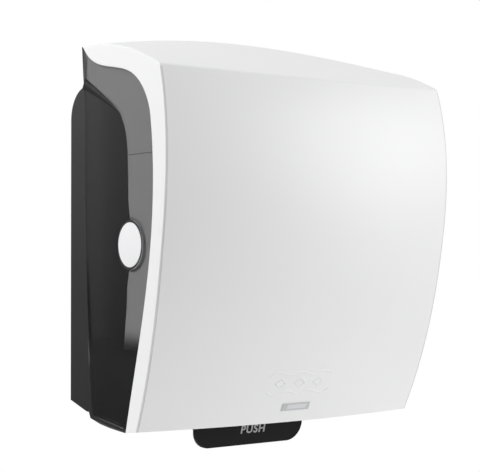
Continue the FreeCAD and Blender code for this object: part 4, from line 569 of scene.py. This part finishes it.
liner = {
    "foot": 72.5,
    "rear": [(119.2, 72.5), (126.4, 113), (129, 146), (131.6, 185), (131.2, 206), (130.8, 224), (129.3, 252),
             (126.7, 266), (122.8, 275), (114.9, 287), (102, 296), (76, 311), (49.0, 325.5)],
    "blockFoot": 128.0,
    "blockTop": 206.0,
    "button": (137.0, 167.0),
    "hole": 22.8,
    "depth": 2.8,
    "wall": 2.4,
    "across": 13,
    "along": 25,
    "rings": 9,
    "sealFrom": 287.0,
    "sealWidths": (1.5, 11.0),
    "sealWall": 1.6,
    "sealRows": 40,
    "ribUp": 247.5,
    "ribEnds": (131.6, 172.5),
    "ribWidth": 0.6,
    "ribHeight": 0.3,
    "ribRows": 30,
}


def linerPatches(seat):
    # below and above the button: straight rows from the rear edge to the seat; beside the button:
    # straight rays from the hole to the outline of the block between them
    across = np.linspace(0, 1, liner["across"])[None, :, None]
    corner = int(np.argmax(seat[:, 1] > cover["windowCorner"][1][1]))
    rear = np.array(liner["rear"])
    turn = int(np.argmax(rear[:, 1] > liner["blockTop"]))

    def edgeAt(line, up):
        return np.stack([np.interp(up, line[:, 1], line[:, 0]), up], axis=-1)

    def rows(first, last):
        return first[:, None] + across * (last - first)[:, None]

    low = np.linspace(liner["foot"], liner["blockFoot"], liner["rings"])
    middle = np.linspace(liner["blockFoot"], liner["blockTop"], liner["along"])
    top = np.array([liner["blockTop"]])
    below = rows(edgeAt(rear, low), edgeAt(seat[:corner], low))
    beyond = np.concatenate([edgeAt(seat[:corner], top), seat[:-1][seat[:-1, 1] > top]])
    behind = np.concatenate([edgeAt(rear, top), rear[turn:]])
    shares = np.linspace(0, 1, 3 * liner["along"])
    above = rows(sampleLine(behind, shares), sampleLine(beyond, shares))
    block = np.concatenate([below[-1], edgeAt(seat[:corner], middle)[1:-1], above[0][::-1]])
    rays = block - liner["button"]
    hole = liner["button"] + liner["hole"] * rays / np.linalg.norm(rays, axis=1, keepdims=True)
    share = np.linspace(0, 1, liner["rings"])[:, None, None]
    return [below, above, hole + share * (block - hole)]


def addSideWall(name, side, patches, depth, thickness, slot):
    # a wall that follows the side face at the given depth, thickened inwards
    sizes = [len(patch.reshape(-1, 2)) for patch in patches]
    starts = np.cumsum([0] + sizes[:-1])
    faces = np.concatenate([gridFaces(*patch.shape[:2], start) for patch, start in zip(patches, starts)])
    deep, up = np.concatenate([patch.reshape(-1, 2) for patch in patches]).T
    x = side * (halfWidth(deep, up) - depth)
    piece = addPiece(name, toFrame(x, deep, up), faces, slot, "cover")
    if piece.data.polygons[0].normal.x * side < 0:
        piece.data.flip_normals()
    wall = piece.modifiers.new("wall", "SOLIDIFY")
    wall.thickness = thickness / 1000
    wall.offset = -1


def sealPatch():
    # a band under the liner's slanting rear edge: its width grows evenly towards the crest
    rear = np.array(liner["rear"])
    line = sampleLine(rear[rear[:, 1] >= liner["sealFrom"]], np.linspace(0, 1, liner["sealRows"]))
    ahead = np.gradient(line, axis=0)
    down = np.stack([-ahead[:, 1], ahead[:, 0]], axis=1) / np.linalg.norm(ahead, axis=1, keepdims=True)
    width = np.linspace(*liner["sealWidths"], liner["sealRows"])[:, None]
    return np.stack([line, line + width * down], axis=1)


# hem: the black border below and behind the foot of each window

hem = {
    "outer": [(58.9, 78), (57.8, 50), (56.4, 22), (55.4, 9.5), (57.5, 4.7), (75, 1), (93, -1), (111, -2.1),
              (120.4, -2.5)],
    "inner": [(59.6, 78), (61.3, 50), (62.5, 22), (63, 10.5), (63.2, 9), (75, 7.4), (93, 4.9), (111, 2.5),
              (121.7, 1.2)],
    "across": 4,
    "depth": 0.1,
    "wall": 2.4,
}


def makeSideWalls(seat):
    # liner, band and border on both sides; the border is ruled between its two outlines
    share = np.linspace(0, 1, hem["across"])[None, :, None]
    outer, inner = np.array(hem["outer"])[:, None], np.array(hem["inner"])[:, None]
    border = [outer + share * (inner - outer)]
    patches, seal = linerPatches(seat), [sealPatch()]
    for side, name in ((-1, "Left"), (1, "Right")):
        addSideWall("coverLiner" + name, side, patches, liner["depth"], liner["wall"], "white_shell")
        addSideWall("coverSeal" + name, side, seal, liner["depth"], liner["sealWall"], "black_housing")
        addSideWall("coverHem" + name, side, border, hem["depth"], hem["wall"], "black_housing")


shell, seatLine = makeCover()
makeSideWalls(seatLine)
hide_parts("front_cover")
print("cover made,", len(shell.data.vertices), "points")


# relief: thin beads that follow a path on a face

bead = {"points": 7}


def beadPoints(path, across, lift, width, height, closed):
    # section of a bead: a flat dome, half the width times cos(a) across and the height times sin(a)
    # outwards, with a foot that is sunk by the height
    angle = np.linspace(0, np.pi, bead["points"])
    section = np.stack([width / 2 * np.cos(angle), height * np.sin(angle)], axis=1)
    section = np.concatenate([section, [[-width / 2, -height], [width / 2, -height]]])
    rows = path[:, None] + section[None, :, :1] * across[:, None] + section[None, :, 1:] * lift[:, None]
    index = np.arange(rows.shape[0] * rows.shape[1]).reshape(rows.shape[:2])
    if closed:
        index = np.concatenate([index, index[:1]])
    ring = np.concatenate([index, index[:, :1]], axis=1)
    ends = [] if closed else [index[0].tolist(), index[-1][::-1].tolist()]
    return rows.reshape(-1, 3), cellCorners(ring).tolist() + ends


def skinDeep(x, up):
    # the front of the cover at x and up: the front spline plus 1 - (x / corner half width) squared
    # times the bulge
    front = sampleSpline(cover["front"], cover["fine"])
    bulge = cover["frontBulge"] * (1 - (x / cover["cornerHalf"]) ** 2)
    return np.interp(up, front[:, 1], front[:, 0]) + bulge


def makeRibs():
    # a low straight rib across each liner, between its rear edge and the seat
    deep = np.linspace(*liner["ribEnds"], liner["ribRows"])
    up = np.full_like(deep, liner["ribUp"])
    for side, name in ((-1, "coverRibLeft"), (1, "coverRibRight")):
        path = toFrame(side * (halfWidth(deep, up) - liner["depth"]), deep, up)
        across = np.tile([0, 0, 0.001], (len(deep), 1))
        out = np.tile([0.001 * side, 0, 0], (len(deep), 1))
        points, faces = beadPoints(path, across, out, liner["ribWidth"], liner["ribHeight"], False)
        addPiece(name, points, faces, "grey_plastic", "cover")


# painted shade: a grey darker than the white shell, for the thin dark line beside each crease
creaseShade = {
    "in": 1.9,
    "width": 1.1,
    "height": 0.06,
    "lift": 0.03,
    "finish": {"colour": (0.63, 0.63, 0.635), "shade": 0.98, "cloud": 14.0, "roughness": 0.5, "drift": 0.05,
               "grain": 1500.0, "depth": 0.00001},
}


def makeCreaseShade():
    # a thin grey bead on the skin beside the left and the right crease, from the foot to the brow; its grey
    # is painted shade, the dark line that the rounded crease shows between the lit rim and the front
    rows = slice(1, cover["frontRows"] + 1)
    half = edgeHalf(0, 0) - creaseShade["in"]
    deep, up = (place[rows, 0] for place in skinPoints(half, 0))
    out = np.tile([0, -0.001, 0], (len(up), 1))
    across = np.tile([0.001, 0, 0], (len(up), 1))
    # the bead's grey material is painted shade beside the crease
    finish = makePlastic("crease_painted_shade", creaseShade["finish"])
    for side, name in ((-1, "coverCreaseShadeLeft"), (1, "coverCreaseShadeRight")):
        path = toFrame(side * half[rows, 0], deep + creaseShade["lift"], up)
        points, faces = beadPoints(path, across, out, creaseShade["width"], creaseShade["height"], False)
        line = addPiece(name, points, faces, "white_shell", "cover")
        line.data.materials[0] = finish


emblem = {
    "centre": (-2.5, 37.0),
    "width": 1.0,
    "height": 0.4,
    "step": 0.8,
    "fine": 60,
    "waves": [[(-36, 9), (-24, 12), (-12, 9), (0, 12), (12, 9), (24, 12), (36, 9)],
              [(-36, -6), (-24, -9), (-12, -6), (0, -9), (12, -6), (24, -9), (36, -6)]],
    "lozenge": [(-6, 1.5), (0, 5.5), (6, 1.5), (0, -2.5), (-6, 1.5)],
    "lozengesAt": (-22, 0, 22),
}


def makeEmblem():
    # raised lines on the skin: three lozenges in a row between two waves
    strokes = [(line, False) for line in emblem["waves"]]
    strokes += [([(x + at, up) for x, up in emblem["lozenge"]], True) for at in emblem["lozengesAt"]]
    points, faces = [], []
    for line, closed in strokes:
        line = np.array(line, float) if closed else sampleSpline(line, emblem["fine"])
        length = np.linalg.norm(np.diff(line, axis=0), axis=1).sum()
        flat = sampleLine(line, np.linspace(0, 1, int(length / emblem["step"]) + 1))
        if closed:
            flat = flat[:-1]
            ahead = np.roll(flat, -1, axis=0) - np.roll(flat, 1, axis=0)
        else:
            ahead = np.gradient(flat, axis=0)
        ahead /= np.linalg.norm(ahead, axis=1, keepdims=True)
        x, up = flat[:, 0] + emblem["centre"][0], flat[:, 1] + emblem["centre"][1]
        path = toFrame(x, skinDeep(x, up), up)
        side = np.stack([-ahead[:, 1], np.zeros(len(x)), ahead[:, 0]], axis=1) / 1000
        out = np.tile([0, -0.001, 0], (len(x), 1))
        rows, cells = beadPoints(path, side, out, emblem["width"], emblem["height"], closed)
        start = sum(len(part) for part in points)
        points.append(rows)
        faces += [[corner + start for corner in cell] for cell in cells]
    addPiece("coverEmblem", np.concatenate(points), faces, "white_shell", "cover")


badgeField = {
    "half": 11.0,
    "foot": 13.0,
    "top": 17.0,
    "slant": 0.35,
    "out": 0.68,
    "in": 0.3,
    "columns": 23,
    "rows": 5,
}


def makeBadgeField():
    # inner field of the badge: a thin plate parallel to the skin, with slanting ends
    up = np.linspace(badgeField["foot"], badgeField["top"], badgeField["rows"])[:, None]
    x = np.linspace(-badgeField["half"], badgeField["half"], badgeField["columns"])[None]
    x = x + badgeField["slant"] * (up - badgeField["foot"])
    sheets = [toFrame(x, skinDeep(x, up) + badgeField[key], up) for key in ("out", "in")]
    points = np.concatenate([sheet.reshape(-1, 3) for sheet in sheets])
    faces = shellFaces(badgeField["rows"], badgeField["columns"])
    field = addPiece("badgeField", points, faces, "badge", "cover")
    field.data.materials[0] = makeBadgeMetal("badge_field", badge["fieldLift"])


paddle = {
    "face": [(86.0, -30.0), (89.2, -10.0), (93.0, 10.0)],
    "half": 65.0,
    "foot": -30.0,
    "corner": 18.0,
    "cornerPoints": 13,
    "inset": 0.9,
    "rimTop": -6.0,
    "rimWidth": 1.3,
    "rimHeight": 0.35,
    "rimPoints": 121,
    "word": "PUSH",
    "wordSize": 11.0,
    "wordAt": (4.0, -18.2),
    "wordRaise": 0.12,
    "wordSlant": 0.08,
    "wordBold": 0.3,
    "wordSpace": 1.12,
    "wordWide": 1.05,
    "wordSteps": 4,
    "wordSharp": 0.5,
    "wordFinish": {"colour": (0.5, 0.5, 0.505), "shade": 0.93, "cloud": 60.0, "roughness": 0.5, "drift": 0.05,
                   "grain": 2600.0, "depth": 0.000008},
}


def paddleDeep(up):
    # the paddle's face at a height: straight lines between its points
    face = np.array(paddle["face"])
    return np.interp(up, face[:, 1], face[:, 0])


def makePaddleRim():
    # a bead along the lower edge of the paddle: down one side, round both corners, up the other
    inset = paddle["inset"]
    half, foot, radius = paddle["half"] - inset, paddle["foot"] + inset, paddle["corner"] - inset
    turn = np.linspace(0, np.pi / 2, paddle["cornerPoints"])[:, None]
    centre = np.array([half - radius, foot + radius])
    corner = centre + radius * np.concatenate([np.sin(turn), -np.cos(turn)], axis=1)
    flat = np.concatenate([[[0, foot]], corner, [[half, paddle["rimTop"]]]])
    flat = np.concatenate([(flat * (-1, 1))[:0:-1], flat])
    flat = sampleLine(flat, np.linspace(0, 1, paddle["rimPoints"]))
    ahead = np.gradient(flat, axis=0)
    ahead /= np.linalg.norm(ahead, axis=1, keepdims=True)
    path = toFrame(flat[:, 0], paddleDeep(flat[:, 1]), flat[:, 1])
    side = np.stack([-ahead[:, 1], np.zeros(len(flat)), ahead[:, 0]], axis=1) / 1000
    out = np.tile([0, -0.001, 0], (len(flat), 1))
    points, faces = beadPoints(path, side, out, paddle["rimWidth"], paddle["rimHeight"], False)
    addPiece("leverRim", points, faces, "lever_plastic", "lever")


def makeWord():
    # the word as a flat raised text, laid on the slope of the paddle's face
    curve = bpy.data.curves.new("word", "FONT")
    curve.body = paddle["word"]
    curve.size = paddle["wordSize"] / 1000
    curve.align_x = "CENTER"
    curve.shear = paddle["wordSlant"]
    curve.space_character = paddle["wordSpace"]
    curve.offset = paddle["wordBold"] / 1000
    curve.extrude = paddle["wordRaise"] / 1000
    curve.resolution_u = paddle["wordSteps"]
    text = bpy.data.objects.new("word", curve)
    bpy.context.scene.collection.objects.link(text)
    bpy.context.view_layer.update()
    made = bpy.data.meshes.new_from_object(text)
    bpy.data.objects.remove(text)
    flat = np.empty(3 * len(made.vertices))
    made.vertices.foreach_get("co", flat)
    flat = flat.reshape(-1, 3)
    up = paddle["wordAt"][1] + 1000 * flat[:, 1]
    x = paddle["wordAt"][0] + 1000 * flat[:, 0] * paddle["wordWide"]
    points = toFrame(x, paddleDeep(up) + 1000 * flat[:, 2], up)
    faces = [list(face.vertices) for face in made.polygons]
    bpy.data.meshes.remove(made)
    addPiece("leverWord", points, faces, "lever_word", "lever", paddle["wordSharp"])


materials["lever_word"] = makePlastic("lever_word", paddle["wordFinish"])
makeRibs()
makeCreaseShade()
makeEmblem()
makeBadgeField()
makePaddleRim()
makeWord()
print("relief, badge and word made")


# stage: floor, world, lamps and camera

stage = {
    "floorLevel": -0.62,
    "floorRadius": 1.1,
    "floorCorners": 96,
    "floorGrey": 0.8,
    "floorGlow": 0.9,
    "skyHigh": 0.71,
    "skyLow": 0.05,
    "horizonTop": 0.4,
    "horizonFoot": -0.3,
}


def makeFloor():
    # a round grey floor, which the camera sees as nearly plain white
    angle = np.linspace(0, 2 * np.pi, stage["floorCorners"] + 1)[:-1]
    rim = np.stack([np.cos(angle), np.sin(angle), np.zeros_like(angle)], axis=1) * stage["floorRadius"]
    rim[:, 2] = stage["floorLevel"]
    mesh = bpy.data.meshes.new("floor")
    mesh.from_pydata(rim.tolist(), [], [list(range(len(rim)))])
    floor = bpy.data.objects.new("floor", mesh)
    bpy.context.scene.collection.objects.link(floor)
    finish = Finish(bpy.data.materials.new("floorPaint"))
    rays = finish.node("ShaderNodeLightPath", output="Is Camera Ray")
    grey = stage["floorGrey"]
    paint = finish.node("ShaderNodeBsdfDiffuse", {}, {"Color": (grey, grey, grey, 1)})
    glow = finish.node("ShaderNodeEmission", {}, {"Color": (1, 1, 1, 1), "Strength": 1.0})
    both = finish.node("ShaderNodeMixShader", {}, {0: rays * stage["floorGlow"], 1: paint, 2: glow})
    finish.node("ShaderNodeOutputMaterial", {}, {"Surface": both})
    mesh.materials.append(finish.owner)


def makeWorld():
    # plain white for the camera; for the light, a sky that grows brighter with its height
    world = bpy.data.worlds.new("studio")
    bpy.context.scene.world = world
    finish = Finish(world)
    rays = finish.node("ShaderNodeLightPath", output="Is Camera Ray")
    direction = finish.node("ShaderNodeTexCoord", output="Generated")
    height = finish.node("ShaderNodeSeparateXYZ", {}, {"Vector": direction}, "Z")
    share = finish.smoothRange(height, stage["horizonFoot"], stage["horizonTop"], stage["skyLow"],
                               stage["skyHigh"])
    strength = rays + (1 - rays) * share
    sky = finish.node("ShaderNodeBackground", {}, {"Color": (1, 1, 1, 1), "Strength": strength})
    finish.node("ShaderNodeOutputWorld", {}, {"Surface": sky})


lamps = {
    "frontRight": {"at": (1.75, -1.85, 0.4), "size": 1.8, "power": 38.0},
    "left": {"at": (-1.9, 0.75, 0.95), "size": 0.9, "power": 33.5},
}
lampAim = Vector((0, -0.1, -0.03))


def makeLamps():
    for name, lamp in lamps.items():
        data = bpy.data.lights.new(name, "AREA")
        data.shape = "DISK"
        data.size = lamp["size"]
        data.energy = lamp["power"]
        thing = bpy.data.objects.new(name, data)
        bpy.context.scene.collection.objects.link(thing)
        thing.location = lamp["at"]
        thing.rotation_euler = (lampAim - Vector(lamp["at"])).to_track_quat("-Z", "Y").to_euler()


camera = {
    "at": (-0.7531, -1.1475, -0.0502),
    "yaw": 35.0,
    "pitch": 0.74,
    "focalPixels": 1310.0,
    "frameWidth": 480.0,
    "sensor": 36.0,
}


def makeCamera():
    data = bpy.data.cameras.new("camera")
    data.sensor_width = camera["sensor"]
    data.lens = camera["focalPixels"] / camera["frameWidth"] * camera["sensor"]
    thing = bpy.data.objects.new("camera", data)
    bpy.context.scene.collection.objects.link(thing)
    yaw, pitch = math.radians(camera["yaw"]), math.radians(camera["pitch"])
    look = Vector((math.sin(yaw) * math.cos(pitch), math.cos(yaw) * math.cos(pitch), math.sin(pitch)))
    thing.location = camera["at"]
    thing.rotation_euler = look.to_track_quat("-Z", "Y").to_euler()
    bpy.context.scene.camera = thing


makeFloor()
makeWorld()
makeLamps()
makeCamera()
bpy.context.scene.view_settings.view_transform = "Standard"
print("stage set")
